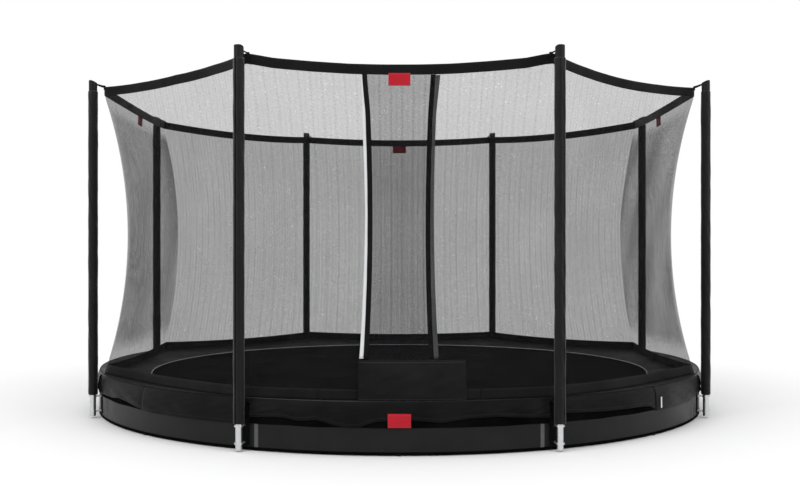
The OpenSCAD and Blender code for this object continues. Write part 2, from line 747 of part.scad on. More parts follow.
upper_rail(1);  // upper_rail_1
upper_rail(2);  // upper_rail_2
upper_rail(3);  // upper_rail_3
upper_rail(4);  // upper_rail_4
upper_rail(5);  // upper_rail_5
upper_rail(6);  // upper_rail_6
upper_rail(7);  // upper_rail_7
upper_rail(8);  // upper_rail_8
lower_rails();
frame_uprights();
side_plate(1);  // side_plate_1
side_plate(2);  // side_plate_2
side_plate(3);  // side_plate_3
side_plate(4);  // side_plate_4
side_plate(5);  // side_plate_5
side_plate(6);  // side_plate_6
side_plate(7);  // side_plate_7
side_plate(8);  // side_plate_8
plate_edge_trims();
plate_clips();
pole(1);  // pole_1
pole(2);  // pole_2
pole(3);  // pole_3
pole(4);  // pole_4
pole(5);  // pole_5
pole(6);  // pole_6
pole(7);  // pole_7
pole(8);  // pole_8
pole_clamps();
clamp_bolts();
pole_brackets();
pole_sleeves();
pole_caps();
cap_straps();
springs();
jump_mat();
mat_rings();
pad_section(1);  // pad_section_1
pad_section(2);  // pad_section_2
pad_section(3);  // pad_section_3
pad_section(4);  // pad_section_4
pad_piping();
net_panel(1);  // net_panel_1
net_panel(2);  // net_panel_2
net_panel(3);  // net_panel_3
net_panel(4);  // net_panel_4
net_panel(5);  // net_panel_5
net_panel(6);  // net_panel_6
net_panel(7);  // net_panel_7
net_front(-1);  // net_front_left
net_front(1);  // net_front_right
top_band();
net_hem();
flap_net(1);  // outer_flap_net
flap_binding(1);  // outer_flap_binding
outer_flap_strip();
flap_net(-1);  // inner_flap_net
flap_binding(-1);  // inner_flap_binding
inner_flap_strip();
threshold_panel();
label_tabs();
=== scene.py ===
import math

import bmesh
import bpy
import numpy as np
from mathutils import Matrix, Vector


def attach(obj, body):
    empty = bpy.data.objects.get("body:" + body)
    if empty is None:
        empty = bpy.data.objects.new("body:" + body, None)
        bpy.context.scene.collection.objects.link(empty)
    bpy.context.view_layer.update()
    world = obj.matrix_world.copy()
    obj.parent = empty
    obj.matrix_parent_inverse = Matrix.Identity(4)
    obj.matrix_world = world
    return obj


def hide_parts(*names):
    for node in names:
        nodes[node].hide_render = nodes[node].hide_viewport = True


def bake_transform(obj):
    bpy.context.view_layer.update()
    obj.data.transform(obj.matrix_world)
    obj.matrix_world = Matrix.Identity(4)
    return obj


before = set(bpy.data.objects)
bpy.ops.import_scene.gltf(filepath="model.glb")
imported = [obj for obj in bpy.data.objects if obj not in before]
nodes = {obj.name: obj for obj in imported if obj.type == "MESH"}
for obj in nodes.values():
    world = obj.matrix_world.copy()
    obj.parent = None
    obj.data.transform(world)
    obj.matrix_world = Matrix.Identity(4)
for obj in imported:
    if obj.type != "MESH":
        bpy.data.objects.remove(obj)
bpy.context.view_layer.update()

# The looks of the trampoline. Rails, plates, poles and their fittings keep their CAD shapes and get a
# coating. Net, webbing, pads, sleeves, mat, springs, cords and tabs are built here in their place.
scene = bpy.context.scene

# ---- sizes from part.scad, in metres ----
POLE_RING_R = 2.21
POLE_A = 23.5
POLE_D = 0.038
POLE_TOP_Z = 2.231
SLEEVE_D = 0.06
SLEEVE_Z = 0.153
CAP_H = 0.07
SEAT = 0.0003
MAT_R = 1.85
MAT_TOP_Z = 0.236
MAT_WEB_W = 0.05
SPRINGS = 104
SPRING_D = 0.024
SPRING_IN_R = 1.8766
SPRING_OUT_R = 2.09131
SPRING_Z = 0.23375
WIRE_D = 0.004
PAD_IN_R = 1.803
PAD_OUT_R = 2.1565
PAD_IN_Z = 0.244
PAD_OUT_Z = 0.29
PAD_FACE_R = np.array([1.803, 1.87, 1.965, 2.06, 2.144])
PAD_FACE_Z = np.array([0.244, 0.2552, 0.26905, 0.2806, 0.29])
SKIRT_Z = 0.151
SLIT_W = 0.076
PIPING_D = 0.005
CORNER_R = 2.136
WAIST = 0.15
BOW = 0.048
BAND_Z = 2.123
BAND_H = 0.058
BAND_T = 0.003
BAND_SAG = 0.036
HEM_H = 0.06
HEM_LIFT = 0.0006
NET_HEIGHT = BAND_Z - PAD_OUT_Z
FLAP_ROOT_X = 0.45
FLAP_EDGE_X = 0.2
FLAP_EDGE_BOW = 0.022
FLAP_TOP_GAP = 0.0012
FLAP_RAMP = 0.12
BINDING_W = 0.026
STRIP_W = 0.027
BINDING_T = 0.003
THRESHOLD_X = (-0.228, 0.371)
THRESHOLD_H = 0.22
THRESHOLD_OFF = 0.01205
STRIP_LIFT = 0.008
FRONT_A = -90.0
POLE_ANGLES = [FRONT_A + 90 * q + s * POLE_A + (90 if s < 0 else 0) for q in range(4) for s in (1, -1)]
PANEL_MID = [FRONT_A + 45 + 45 * k for k in range(8)]
ENTRANCE = 7

# ---- sizes of the looks alone, in metres ----
SLIT_TOP_Z = 0.282
SLIT_ROUND_Z = 0.262
FLAP_GAP = 0.014
FLAP_LOW_GAP = 0.009
BINDING_SEEN_W = BINDING_W + 0.002
STRIP_DROP = 0.003
NET_TUCK = 0.008
NET_ROWS = 46
HEM_TOP = HEM_H / NET_HEIGHT
# how far apart the net's fine pleats stand, how deep they are and how many columns make one
RIPPLE = 0.010
RIPPLE_DEPTH = 0.0017
RIPPLE_STEPS = 5
# how far from a panel's ends the pleats fade in
PLEAT_FADE = 0.06
# how much higher the top band hangs than in part.scad, by the angle away from the entrance
LIFT_AWAY = (0, 8, 13, 20, 22.5, 33, 45, 56, 67.5, 80, 112)
LIFT_LEFT = (0, 0, 0.003, 0.007, 0.016, 0.030, 0.036, 0.026, 0.010, 0.006, 0)
LIFT_RIGHT = (0, 0, 0.003, 0.007, 0.018, 0.017, 0.013, 0.012, 0.006, 0.003, 0)


def panel_half(k):
    return math.radians(45 - POLE_A if k % 2 == 0 else POLE_A)


# ---- the net's surface, as in part.scad: x runs along a panel, t from the pad (0) to the top band (1) ----
def pad_top_z(r):
    return np.interp(r, PAD_FACE_R, PAD_FACE_Z)


def waist_r(t):
    return CORNER_R - WAIST * 4 * t * (1 - t)


def half_w(half, t):
    return waist_r(t) * math.sin(half)


def high_z(u):
    return BAND_Z - SEAT - BAND_SAG * (1 - u * u)


def net_point(half, x, t, off=0.0, rise=0.0):
    """Points on a panel, in its own frame: outwards, along and up."""
    x, t = np.broadcast_arrays(np.asarray(x, float), np.asarray(t, float))
    u = x / half_w(half, t)
    out = waist_r(t) * math.cos(half) - BOW * (1 - u * u) * t * t + off
    low = pad_top_z(np.hypot(CORNER_R * math.cos(half) + off, x)) + HEM_LIFT
    along = x * (1 + off / (waist_r(t) * math.cos(half)))
    return np.stack([out, along, low * (1 - t) + high_z(u) * t + rise], -1)


def turned(points, degrees):
    """Points in a frame whose first axis points outwards, turned to the direction given."""
    c, s = math.cos(math.radians(degrees)), math.sin(math.radians(degrees))
    p = np.asarray(points, float)
    return np.stack([p[..., 0] * c - p[..., 1] * s, p[..., 0] * s + p[..., 1] * c, p[..., 2]], -1)


def band_lift(x, y):
    away = np.degrees(np.arctan2(np.abs(x), -np.asarray(y)))
    left, right = (np.interp(away, LIFT_AWAY, lift) for lift in (LIFT_LEFT, LIFT_RIGHT))
    return np.where(np.asarray(x) < 0, left, right)


def strung(points, degrees):
    """A panel's points turned into place, with the net and its band drawn up to where they hang."""
    p = turned(points, degrees)
    p[..., 2] += band_lift(p[..., 0], p[..., 1]) * smooth_step(p[..., 2], 0.45, 2.05)
    return p


def polar(r, degrees, z):
    r, a, z = np.broadcast_arrays(np.asarray(r, float), np.radians(degrees), np.asarray(z, float))
    return np.stack([r * np.cos(a), r * np.sin(a), z], -1)


def row(low, high, count):
    return np.linspace(low, high, count)[None, :]


def column(low, high, count):
    return np.linspace(low, high, count)[:, None]


def circle(count):
    return np.linspace(0, 360, count, endpoint=False)


def smooth_step(x, low, high):
    s = np.clip((np.asarray(x, float) - low) / (high - low), 0, 1)
    return s * s * (3 - 2 * s)


def within(x, low, full_low, full_high, high):
    """1 between full_low and full_high, fading to 0 at low and high."""
    return smooth_step(x, low, full_low) * smooth_step(-x, -high, -full_high)


def ripple_noise(x, count, seed, low=1.0, high=3.0):
    """A smooth repeatable wave made of a few sines, from about -1 to 1."""
    draw = np.random.default_rng(seed)
    total = 0
    for n in range(count):
        total = total + np.sin(np.asarray(x) * draw.uniform(low, high) + draw.uniform(0, 2 * math.pi))
    return total / math.sqrt(count) / 1.3


# ---- mesh building ----
def dress(made, material, body="frame", node=None):
    """A piece's material, the body that it rides with and the node that it replaces."""
    made.data.materials.append(material)
    if body:
        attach(made, body)
    if node:
        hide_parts(node)
    return made


def make_object(name, points, faces, uvs):
    mesh = bpy.data.meshes.new(name)
    mesh.from_pydata([tuple(p) for p in points], [], faces)
    layer = mesh.uv_layers.new(name="cloth")
    layer.uv.foreach_set("vector", np.array([uvs[v] for f in faces for v in f], np.float32).ravel())
    mesh.validate()
    mesh.update()
    mesh.polygons.foreach_set("use_smooth", [True] * len(mesh.polygons))
    made = bpy.data.objects.new(name, mesh)
    scene.collection.objects.link(made)
    return made


def grid_normals(grid):
    across = np.gradient(grid, axis=1)
    down = np.gradient(grid, axis=0)
    n = np.cross(across, down)
    return n / np.maximum(np.linalg.norm(n, axis=-1, keepdims=True), 1e-12)


def cloth_uv(grid):
    """Distance along the rows and columns of a grid, in metres."""
    along = np.linalg.norm(np.diff(grid, axis=1), axis=-1)
    u = np.concatenate([np.zeros((len(grid), 1)), np.cumsum(along, 1)], 1)
    u = u - u[:, -1:] / 2
    up = np.linalg.norm(np.diff(grid, axis=0), axis=-1)
    v = np.concatenate([np.zeros((1, grid.shape[1])), np.cumsum(up, 0)], 0)
    return np.stack([u, v], -1)


def shell(grids, thick, masks, uvs):
    """Points, faces and uvs of sheets on grids of points.

    With a thickness each is closed, with a face on both sides and a rim. A mask says which cells are kept.
    """
    points, faces, maps = [], [], []
    for g, grid in enumerate(grids):
        rows, cols = grid.shape[:2]
        base, size = len(points), rows * cols
        uv = (cloth_uv(grid) if uvs is None else uvs[g]).reshape(-1, 2)
        quads = [
            (i * cols + j, i * cols + j + 1, (i + 1) * cols + j + 1, (i + 1) * cols + j)
            for i in range(rows - 1)
            for j in range(cols - 1)
            if masks is None or masks[g][i, j]
        ]
        offset = grid_normals(grid) * thick / 2
        for side in (1, -1) if thick else (0,):
            points.extend((grid + side * offset).reshape(-1, 3))
            maps.extend(uv)
        faces.extend(tuple(base + v for v in q) for q in quads)
        if thick:
            edges = {(q[n], q[(n + 1) % 4]) for q in quads for n in range(4)}
            rim = sorted(e for e in edges if (e[1], e[0]) not in edges)
            faces.extend(tuple(base + size + v for v in reversed(q)) for q in quads)
            faces.extend((base + b, base + a, base + size + a, base + size + b) for a, b in rim)
    return points, faces, maps


def sheet_piece(name, grids, material, thick=0.0, body="frame", node=None, masks=None, uvs=None):
    made = make_object(name, *shell(grids, thick, masks, uvs))
    if masks:
        remove_loose(made.data)
    return dress(made, material, body, node)


def remove_loose(mesh):
    """Delete the points that a mask has left without a face."""
    bm = bmesh.new()
    bm.from_mesh(mesh)
    bmesh.ops.delete(bm, geom=[v for v in bm.verts if not v.link_faces], context="VERTS")
    bm.to_mesh(mesh)
    bm.free()


def smooth_path(points, steps=6):
    """A curve through the points."""
    p = np.asarray(points, float)
    p = np.concatenate([[2 * p[0] - p[1]], p, [2 * p[-1] - p[-2]]])
    t = np.linspace(0, 1, steps, endpoint=False)[:, None]
    runs = []
    for n in range(1, len(p) - 2):
        a, b, c, d = p[n - 1 : n + 3]
        bend, turn = 2 * a - 5 * b + 4 * c - d, 3 * b - a - 3 * c + d
        runs.append(0.5 * (2 * b + (c - a) * t + bend * t**2 + turn * t**3))
    return np.concatenate([*runs, p[-2:-1]])


def tube_points(path, radius, sides=8, closed=False):
    """Rings of points round a path, with frames carried along it."""
    path = np.asarray(path, float)
    count = len(path)
    ahead = np.roll(path, -1, 0) - np.roll(path, 1, 0)
    if not closed:
        ahead[0] = path[1] - path[0]
        ahead[-1] = path[-1] - path[-2]
    ahead = ahead / np.linalg.norm(ahead, axis=1, keepdims=True)
    side = np.cross(ahead[0], [0, 0, 1.0])
    if np.linalg.norm(side) < 0.1:
        side = np.cross(ahead[0], [1.0, 0, 0])
    rings = []
    radius = np.broadcast_to(radius, count)
    for n in range(count):
        side = side - ahead[n] * (side @ ahead[n])
        side = side / np.linalg.norm(side)
        up = np.cross(ahead[n], side)
        turn = np.linspace(0, 2 * math.pi, sides, endpoint=False)
        rings.append(path[n] + radius[n] * (np.outer(np.cos(turn), side) + np.outer(np.sin(turn), up)))
    return np.array(rings)


def loft(rings, closed_path, base):
    """Faces between rings of points that each close on themselves, with flat ends on an open path."""
    count, sides = rings.shape[:2]
    faces = []
    for i in range(count if closed_path else count - 1):
        here, ahead = base + i * sides, base + (i + 1) % count * sides
        for j in range(sides):
            faces.append((here + j, here + (j + 1) % sides, ahead + (j + 1) % sides, ahead + j))
    if not closed_path:
        faces.append(tuple(base + j for j in reversed(range(sides))))
        faces.append(tuple(base + (count - 1) * sides + j for j in range(sides)))
    return faces


def loft_piece(name, parts, material, body="frame", node=None, closed_path=False, uvs=None):
    """One object from several lofted runs of rings."""
    points, faces, maps = [], [], []
    for n, rings in enumerate(parts):
        faces.extend(loft(rings, closed_path, len(points)))
        if uvs is None:
            step = np.linalg.norm(rings - np.roll(rings, 1, 1), axis=-1).cumsum(1)
            run = np.concatenate([[0], np.linalg.norm(np.diff(rings.mean(1), axis=0), axis=-1).cumsum()])
            maps.extend(np.stack([np.broadcast_to(run[:, None], step.shape), step], -1).reshape(-1, 2))
        else:
            maps.extend(uvs[n].reshape(-1, 2))
        points.extend(rings.reshape(-1, 3))
    return dress(make_object(name, points, faces, maps), material, body, node)


# ---- materials ----
class Nodes:
    """A tree of shader nodes, with short ways to add to it."""

    def __init__(self, tree):
        self.tree = tree

    def node(self, kind, inputs=(), **settings):
        """A new node's outputs. Its inputs are given in order or by number or name."""
        made = self.tree.nodes.new(kind)
        for key, value in settings.items():
            setattr(made, key, value)
        for key, value in inputs.items() if isinstance(inputs, dict) else enumerate(inputs):
            self.put(made.inputs[key], value)
        return made.outputs

    def put(self, socket, value):
        if isinstance(value, bpy.types.NodeSocket):
            self.tree.links.new(value, socket)
        elif value is not None:
            socket.default_value = value

    def math(self, operation, a, b=None):
        return self.node("ShaderNodeMath", (a, b), operation=operation)[0]

    def plus(self, a, b):
        return self.math("ADD", a, b)

    def times(self, a, b):
        return self.math("MULTIPLY", a, b)

    def place(self):
        return self.node("ShaderNodeTexCoord")["Object"]

    def parts(self, vector):
        return self.node("ShaderNodeSeparateXYZ", (vector,))

    def cloth(self):
        """The two distances of the cloth map, in metres."""
        return self.parts(self.node("ShaderNodeUVMap", uv_map="cloth")[0])[:2]

    def noise(self, scale, detail=3.0, rough=0.55, stretch=None):
        vector = self.place()
        if stretch:
            vector = self.node("ShaderNodeVectorMath", (vector, stretch), operation="MULTIPLY")[0]
        inputs = {"Vector": vector, "Scale": scale, "Detail": detail, "Roughness": rough}
        return self.node("ShaderNodeTexNoise", inputs)["Fac"]

    def cells(self, scale):
        """Distances from scattered points, and a random number for the cell round each."""
        made = self.node("ShaderNodeTexVoronoi", {"Vector": self.place(), "Scale": scale})
        return made["Distance"], self.node("ShaderNodeSeparateColor", (made["Color"],))[0]

    def spread(self, value, low, high, to_low=0.0, to_high=1.0, smooth=True):
        kind = "SMOOTHSTEP" if smooth else "LINEAR"
        inputs = (value, low, high, to_low, to_high)
        return self.node("ShaderNodeMapRange", inputs, interpolation_type=kind)[0]

    def mix(self, share, a, b):
        return self.node("ShaderNodeMix", {0: share, 6: rgba(a), 7: rgba(b)}, data_type="RGBA")[2]

    def bump(self, height, strength, distance):
        return self.node("ShaderNodeBump", {"Strength": strength, "Distance": distance, "Height": height})[0]

    def wave(self, value, period):
        return self.math("SINE", self.times(value, 2 * math.pi / period))

    def near(self, value, centre, reach):
        """1 where value is within reach of centre, fading to 0 at twice that."""
        gap = self.math("ABSOLUTE", self.math("SUBTRACT", value, centre))
        return self.spread(gap, reach, 2 * reach, 1.0, 0.0)

    def backdrop_rays(self):
        """1 for rays that see the backdrop and don't light by it: camera, glossy and transmission rays."""
        rays = self.node("ShaderNodeLightPath")
        straight = self.math("MAXIMUM", rays["Is Camera Ray"], rays["Is Glossy Ray"])
        return self.math("MAXIMUM", straight, rays["Is Transmission Ray"])


class Paint(Nodes):
    """A material with a Principled shader."""

    def __init__(self, name, **values):
        self.material = bpy.data.materials.new(name)
        self.material.use_nodes = True
        super().__init__(self.material.node_tree)
        self.shader = next(n for n in self.tree.nodes if n.type == "BSDF_PRINCIPLED")
        for key, value in values.items():
            self.set(key.replace("_", " "), value)

    def set(self, key, value):
        self.put(self.shader.inputs[key], value)


def rgba(c):
    return c if isinstance(c, bpy.types.NodeSocket) or len(c) == 4 else (*c, 1.0)


def shaded(colour, times, plus=0.0):
    return tuple(min(1.0, c * times + plus) for c in colour)


def metal(name, colour, rough, spangle=0.0, scuff=0.3, drawn=None):
    """Bare or zinc-coated steel: faint crystals or draw lines, dull patches and small scuffs."""
    p = Paint(name, Metallic=1.0)
    patches = p.noise(9.0, 4.0)
    fine = p.noise(160.0, 2.0, stretch=drawn)
    pale, dull = shaded(colour, 1.16), shaded(colour, 0.78)
    shade = p.mix(p.spread(patches, 0.35, 0.68), dull, colour)
    shade = p.mix(p.times(fine, 0.35), shade, pale)
    if spangle:
        shade = p.mix(p.spread(p.cells(90.0)[1], 0.0, 1.0, 0.0, spangle), shade, pale)
    marks = p.spread(p.noise(46.0, 6.0, 0.7), 0.62, 0.74, 0.0, scuff)
    p.set("Base Color", p.mix(marks, shade, dull))
    even = p.spread(patches, 0.3, 0.7, rough + 0.08, rough - 0.05)
    p.set("Roughness", p.plus(even, p.times(marks, 0.3)))
    p.set("Normal", p.bump(fine, 0.12, 0.0004))
    return p.material


def coated(name, colour, rough, grain, wear, worn, gloss):
    """Powder-coated steel or moulded plastic: fine grain, uneven gloss and rubbed spots."""
    p = Paint(name, IOR=1.48, Specular_IOR_Level=gloss)
    grains = p.noise(grain, 2.0)
    patches = p.noise(6.0, 3.0)
    rubbed = p.spread(p.noise(28.0, 7.0, 0.72), 0.66, 0.8, 0.0, wear)
    lighter = shaded(colour, 1.5, 0.004)
    shade = p.mix(p.spread(patches, 0.3, 0.7, 0.0, 0.5), colour, lighter)
    shade = p.mix(p.times(grains, 0.4), shade, lighter)
    p.set("Base Color", p.mix(rubbed, shade, worn))
    even = p.spread(patches, 0.3, 0.7, rough, rough + 0.12)
    p.set("Roughness", p.plus(even, p.times(grains, 0.08)))
    p.set("Normal", p.bump(grains, 0.25, 0.0005))
    return p.material


def fabric(name, colour, thread=0.0022, rough=0.72, sheen=0.25, fade=1.6, stitch_rows=(),
           stitch=(0.07, 0.07, 0.072), gloss=0.12, crease=0.35, twill=False, seams=()):
    """Woven cloth on the cloth map: weave, faded patches, fine creases, rows of stitches and dull seams."""
    p = Paint(name, Sheen_Weight=sheen, Sheen_Roughness=0.45, Specular_IOR_Level=gloss)
    u, v = p.cloth()
    warp = p.wave(p.plus(u, v) if twill else u, thread)
    weave = p.spread(p.times(warp, p.wave(v, thread)), -1.0, 1.0)
    patches = p.noise(3.2, 5.0, 0.6)
    shade = p.mix(p.spread(patches, 0.34, 0.68), colour, shaded(colour, fade, 0.002))
    shade = p.mix(p.times(weave, 0.5), shade, shaded(colour, 0.62))
    lint = p.spread(p.noise(210.0, 3.0, 0.7), 0.7, 0.78, 0.0, 0.25)
    shade = p.mix(lint, shade, shaded(colour, 3, 0.03))
    creases = p.times(p.noise(34.0, 5.0, 0.65), crease * 2)
    height = p.plus(p.times(weave, 0.4), creases)
    for row in stitch_rows:
        dash = p.spread(p.wave(u, STITCH), -0.35, 0.05)
        sewn = p.times(p.near(v, row, 0.0007), dash)
        shade = p.mix(sewn, shade, stitch)
        pulled = p.times(p.near(v, row, 0.003), 0.9)
        height = p.math("SUBTRACT", p.plus(height, sewn), pulled)
    for seam in seams:
        on_seam = p.near(u, seam, 0.0026)
        shade = p.mix(on_seam, shade, shaded(colour, 0.1))
        p.set("Specular IOR Level", p.spread(on_seam, 0.0, 1.0, gloss, gloss * 0.1))
    p.set("Base Color", shade)
    p.set("Roughness", p.spread(patches, 0.3, 0.7, rough + 0.06, rough - 0.08))
    p.set("Normal", p.bump(height, 0.45, 0.0012))
    return p.material


def netting(name, colour, cover):
    """Knitted mesh: small holes, faint courses of denser dots, uneven and slack knit, a few open specks."""
    p = Paint(name, Roughness=0.95, Specular_IOR_Level=0.0)
    u, v = p.cloth()
    holes = p.times(p.wave(u, MESH), p.wave(v, MESH * 1.3))
    mesh_share = p.spread(holes, -1.0, 1.0, cover - 0.2, cover + 0.2, smooth=False)
    across = p.plus(u, p.spread(p.noise(40.0, 2.0), 0.0, 1.0, -0.002, 0.002, smooth=False))
    major = p.spread(p.wave(across, COURSE), 0.62, 1.0)
    minor = p.spread(p.wave(p.plus(across, COURSE / 2), COURSE), 0.7, 1.0, 0.0, 0.4)
    slant = p.plus(v, p.times(u, 0.31))
    dots = p.spread(p.wave(slant, DOT_PITCH), -0.5, 0.6, 0.3, 1.0)
    ribs = p.times(p.plus(major, minor), dots)
    grain = p.spread(p.noise(230.0, 1.0, 0.5), 0.28, 0.72, -0.1, 0.1, smooth=False)
    slack = p.spread(p.noise(2.4, 3.0), 0.3, 0.7, -0.015, 0.015)
    distance, pick = p.cells(72.0)
    specks = p.times(p.spread(distance, 0.18, 0.3, 1.0, 0.0), p.spread(pick, 0.925, 0.935))
    total = p.plus(p.plus(mesh_share, p.times(ribs, 0.075)), p.plus(slack, grain))
    total = p.math("SUBTRACT", total, p.times(specks, 0.3))
    p.set("Base Color", p.mix(slack, colour, shaded(colour, 1.4)))
    p.set("Alpha", p.math("MINIMUM", p.math("MAXIMUM", total, 0.05), 0.95))
    p.set("Normal", p.bump(holes, 0.3, 0.001))
    return p.material


def plate_coating(name, colour, seam_highlight_colour):
    """Powder-coated steel whose seams show as smoother strips, painted paler: a painted highlight."""
    p = Paint(name, IOR=1.48, Specular_IOR_Level=0.16)
    grains = p.noise(520.0, 2.0)
    patches = p.noise(5.0, 3.0)
    x, y = p.parts(p.place())[:2]
    turn = p.math("ARCTAN2", p.math("ABSOLUTE", x), p.math("ABSOLUTE", y))
    # the seams' mask: where a painted highlight makes the plates paler
    seam = p.math("MAXIMUM", *[p.near(turn, math.radians(a), 0.0036) for a in PLATE_SEAM_A])
    lighter = shaded(colour, 1.5, 0.003)
    shade = p.mix(p.spread(patches, 0.3, 0.7, 0.0, 0.6), colour, lighter)
    shade = p.mix(p.times(grains, 0.3), shade, lighter)
    scuffs = p.spread(p.noise(28.0, 7.0, 0.72), 0.66, 0.8, 0.0, 0.12)
    shade = p.mix(scuffs, shade, (0.06, 0.06, 0.06))
    p.set("Base Color", p.mix(seam, shade, seam_highlight_colour))
    even = p.spread(patches, 0.3, 0.7, 0.34, 0.44)
    p.set("Roughness", p.math("SUBTRACT", even, p.times(seam, 0.1)))
    p.set("Normal", p.bump(p.plus(p.noise(3.0, 2.0), p.times(grains, 0.1)), 0.3, 0.004))
    return p.material


def edge_cloth_with_painted_highlight(name, colour, pale):
    """Cord in the pad's rim seam: dark, with a painted highlight that makes it pale beside the entrance."""
    p = Paint(name, Roughness=0.75, Specular_IOR_Level=0.04)
    x, y = p.parts(p.place())[:2]
    beside = p.spread(p.math("ABSOLUTE", x), 0.78, 0.95, 1.0, 0.0)
    front = p.times(beside, p.spread(y, -1.8, -1.5, 1.0, 0.0))
    # the share painted pale is a painted highlight, not wear: at the front beside the entrance, strongest on
    # the left
    worn = p.times(front, p.spread(x, -0.4, 0.0, 1.0, 0.3))
    shade = p.mix(worn, colour, pale)
    threads = p.spread(p.noise(260.0, 3.0, 0.7), 0.35, 0.7, 0.0, 0.5)
    p.set("Base Color", p.mix(threads, shade, shaded(colour, 0.5)))
    p.set("Normal", p.bump(p.noise(420.0, 2.0), 0.4, 0.0006))
    return p.material


MESH = 0.0042
COURSE = 0.065
DOT_PITCH = 0.02
STITCH = 0.007
PLATE_SEAM_A = (21.5, 62.0)
GALVANISED = metal("galvanised_steel", (0.62, 0.63, 0.645), 0.36, spangle=0.3)
POLE_STEEL = metal("pole_steel", (0.66, 0.67, 0.68), 0.3, spangle=0.12, drawn=(1.0, 1.0, 0.06))
SPRING_STEEL = metal("spring_steel", (0.6, 0.605, 0.61), 0.32, scuff=0.4)
# the second colour is the painted highlight along the plates' seams
DARK_PLATE = plate_coating("dark_plate_coating", (0.006, 0.006, 0.0063), (0.11, 0.11, 0.113))
BRACKET_PAINT = coated("bracket_coating", (0.003, 0.003, 0.003), 0.6, 520.0, 0.15, (0.02, 0.02, 0.02), 0.03)
RUBBER = coated("trim_rubber", (0.0012, 0.0012, 0.0012), 0.85, 300.0, 0.06, (0.01, 0.01, 0.01), 0.01)
PLASTIC = coated("cap_plastic", (0.006, 0.006, 0.0062), 0.34, 700.0, 0.1, (0.04, 0.04, 0.042), 0.14)
SLEEVE = fabric("sleeve_cloth", (0.004, 0.004, 0.0043), thread=0.0016, rough=0.33, sheen=0.2, gloss=0.12,
                seams=(math.pi * SLEEVE_D / 2,))
PAD_TOP = fabric("pad_cover", (0.0042, 0.0042, 0.0046), thread=0.0026, rough=0.5, sheen=0.01, gloss=0.07,
                 twill=True)
SKIRT = fabric("skirt_cloth", (0.0026, 0.0026, 0.0029), thread=0.0026, rough=0.38, sheen=0.005, gloss=0.062,
               twill=True, stitch_rows=(0.020,), stitch=(0.02, 0.02, 0.021))
# a darker, matte cloth put below the skirt's fold where the skirt lies in shade: painted shade
SKIRT_SHADE_BAND = fabric("skirt_shade_band_cloth", (0.0016, 0.0016, 0.0017), thread=0.002, rough=0.9, sheen=0.0,
                    gloss=0.01)
PIPING = fabric("piping_cloth", (0.5, 0.5, 0.52), thread=0.0012, rough=0.6, sheen=0.3, fade=1.1)
# the second colour is the cord's painted highlight
EDGE_PIPING = edge_cloth_with_painted_highlight("edge_piping_cloth", (0.003, 0.003, 0.0032), (0.06, 0.06, 0.062))
MAT_CLOTH = fabric("mat_weave", (0.0028, 0.0028, 0.0028), thread=0.003, rough=0.85, sheen=0.0, gloss=0.004)
MAT_WEBBING = fabric("mat_webbing", (0.007, 0.007, 0.007), thread=0.0018, rough=0.66, sheen=0.05)
NET = netting("net_mesh", (0.014, 0.014, 0.015), 0.412)
WEBBING = fabric("band_webbing", (0.0042, 0.0042, 0.0045), thread=0.002, rough=0.6, sheen=0.01, gloss=0.07,
                 stitch_rows=(0.006, 0.052), stitch=(0.016, 0.016, 0.017))
HEM = fabric("hem_webbing", (0.0055, 0.0055, 0.006), thread=0.002, rough=0.6, sheen=0.01, gloss=0.08,
             stitch_rows=(0.005, 0.055), stitch=(0.02, 0.02, 0.021))
BINDING = fabric("binding_webbing", (0.004, 0.004, 0.0043), thread=0.0018, rough=0.6, sheen=0.01, gloss=0.07)
PALE = fabric("pale_strip", (0.76, 0.77, 0.78), thread=0.0016, rough=0.7, sheen=0.2, fade=1.06)
GREY = fabric("grey_strip", (0.15, 0.15, 0.154), thread=0.0016, rough=0.7, sheen=0.2)
RED = fabric("red_tab", (0.44, 0.008, 0.02), thread=0.0012, rough=0.5, sheen=0.3, fade=1.15,
             stitch_rows=(0.004, 0.066), stitch=(0.5, 0.05, 0.06))
WHITE_TAB = fabric("white_tab", (0.75, 0.75, 0.76), thread=0.001, rough=0.6, sheen=0.2, fade=1.05)
CORD = fabric("cap_cord", (0.006, 0.006, 0.006), thread=0.0014, rough=0.7, sheen=0.05, gloss=0.05)
THRESHOLD = fabric("threshold_cloth", (0.006, 0.006, 0.0064), thread=0.0024, rough=0.5, sheen=0.02,
                   gloss=0.08, stitch_rows=(0.006, 0.213), crease=0.6)


def paint(material, *names):
    for name in names:
        nodes[name].data.materials.clear()
        nodes[name].data.materials.append(material)


def eight(name):
    return [f"{name}_{n}" for n in range(1, 9)]


paint(GALVANISED, *eight("upper_rail"), "lower_rails", "frame_uprights")
paint(POLE_STEEL, *eight("pole"), "pole_clamps", "clamp_bolts")
paint(SPRING_STEEL, "mat_rings")
paint(DARK_PLATE, *eight("side_plate"))
paint(BRACKET_PAINT, "pole_brackets")
paint(RUBBER, "plate_edge_trims")
paint(PLASTIC, "plate_clips", "pole_caps")


# ---- net ----
def rippled(half, mid, x, t, seed, depth, ends):
    """The net's surface, whose slack courses stand as fine vertical pleats, tighter at the back."""
    at_top = half_w(half, 1.0) * x / half_w(half, t)
    inside = within(at_top, ends[0], ends[0] + PLEAT_FADE, ends[1] - PLEAT_FADE, ends[1])
    rows = within(t, 0.03, 0.14, 0.93, 1.0)
    turn = math.radians(mid)
    world_y = waist_r(t) * math.cos(half) * math.sin(turn) + x * math.cos(turn)
    slack = 1 - 0.12 * smooth_step(world_y, -0.35, 0.3)
    wobble = 0.3 * ripple_noise(t * 9 + at_top * 1.5, 4, seed) * rows
    wave = np.sin(2 * math.pi * at_top / RIPPLE + wobble)
    strength = 0.8 + 0.06 * ripple_noise(at_top * 2.3 + t * 2.0, 4, seed + 50)
    sway = 0.0024 * ripple_noise(at_top * 3.0 + t * 5.0, 5, seed + 90) * inside * rows
    return net_point(half, x, t, depth * wave * strength * slack * inside * rows + sway)


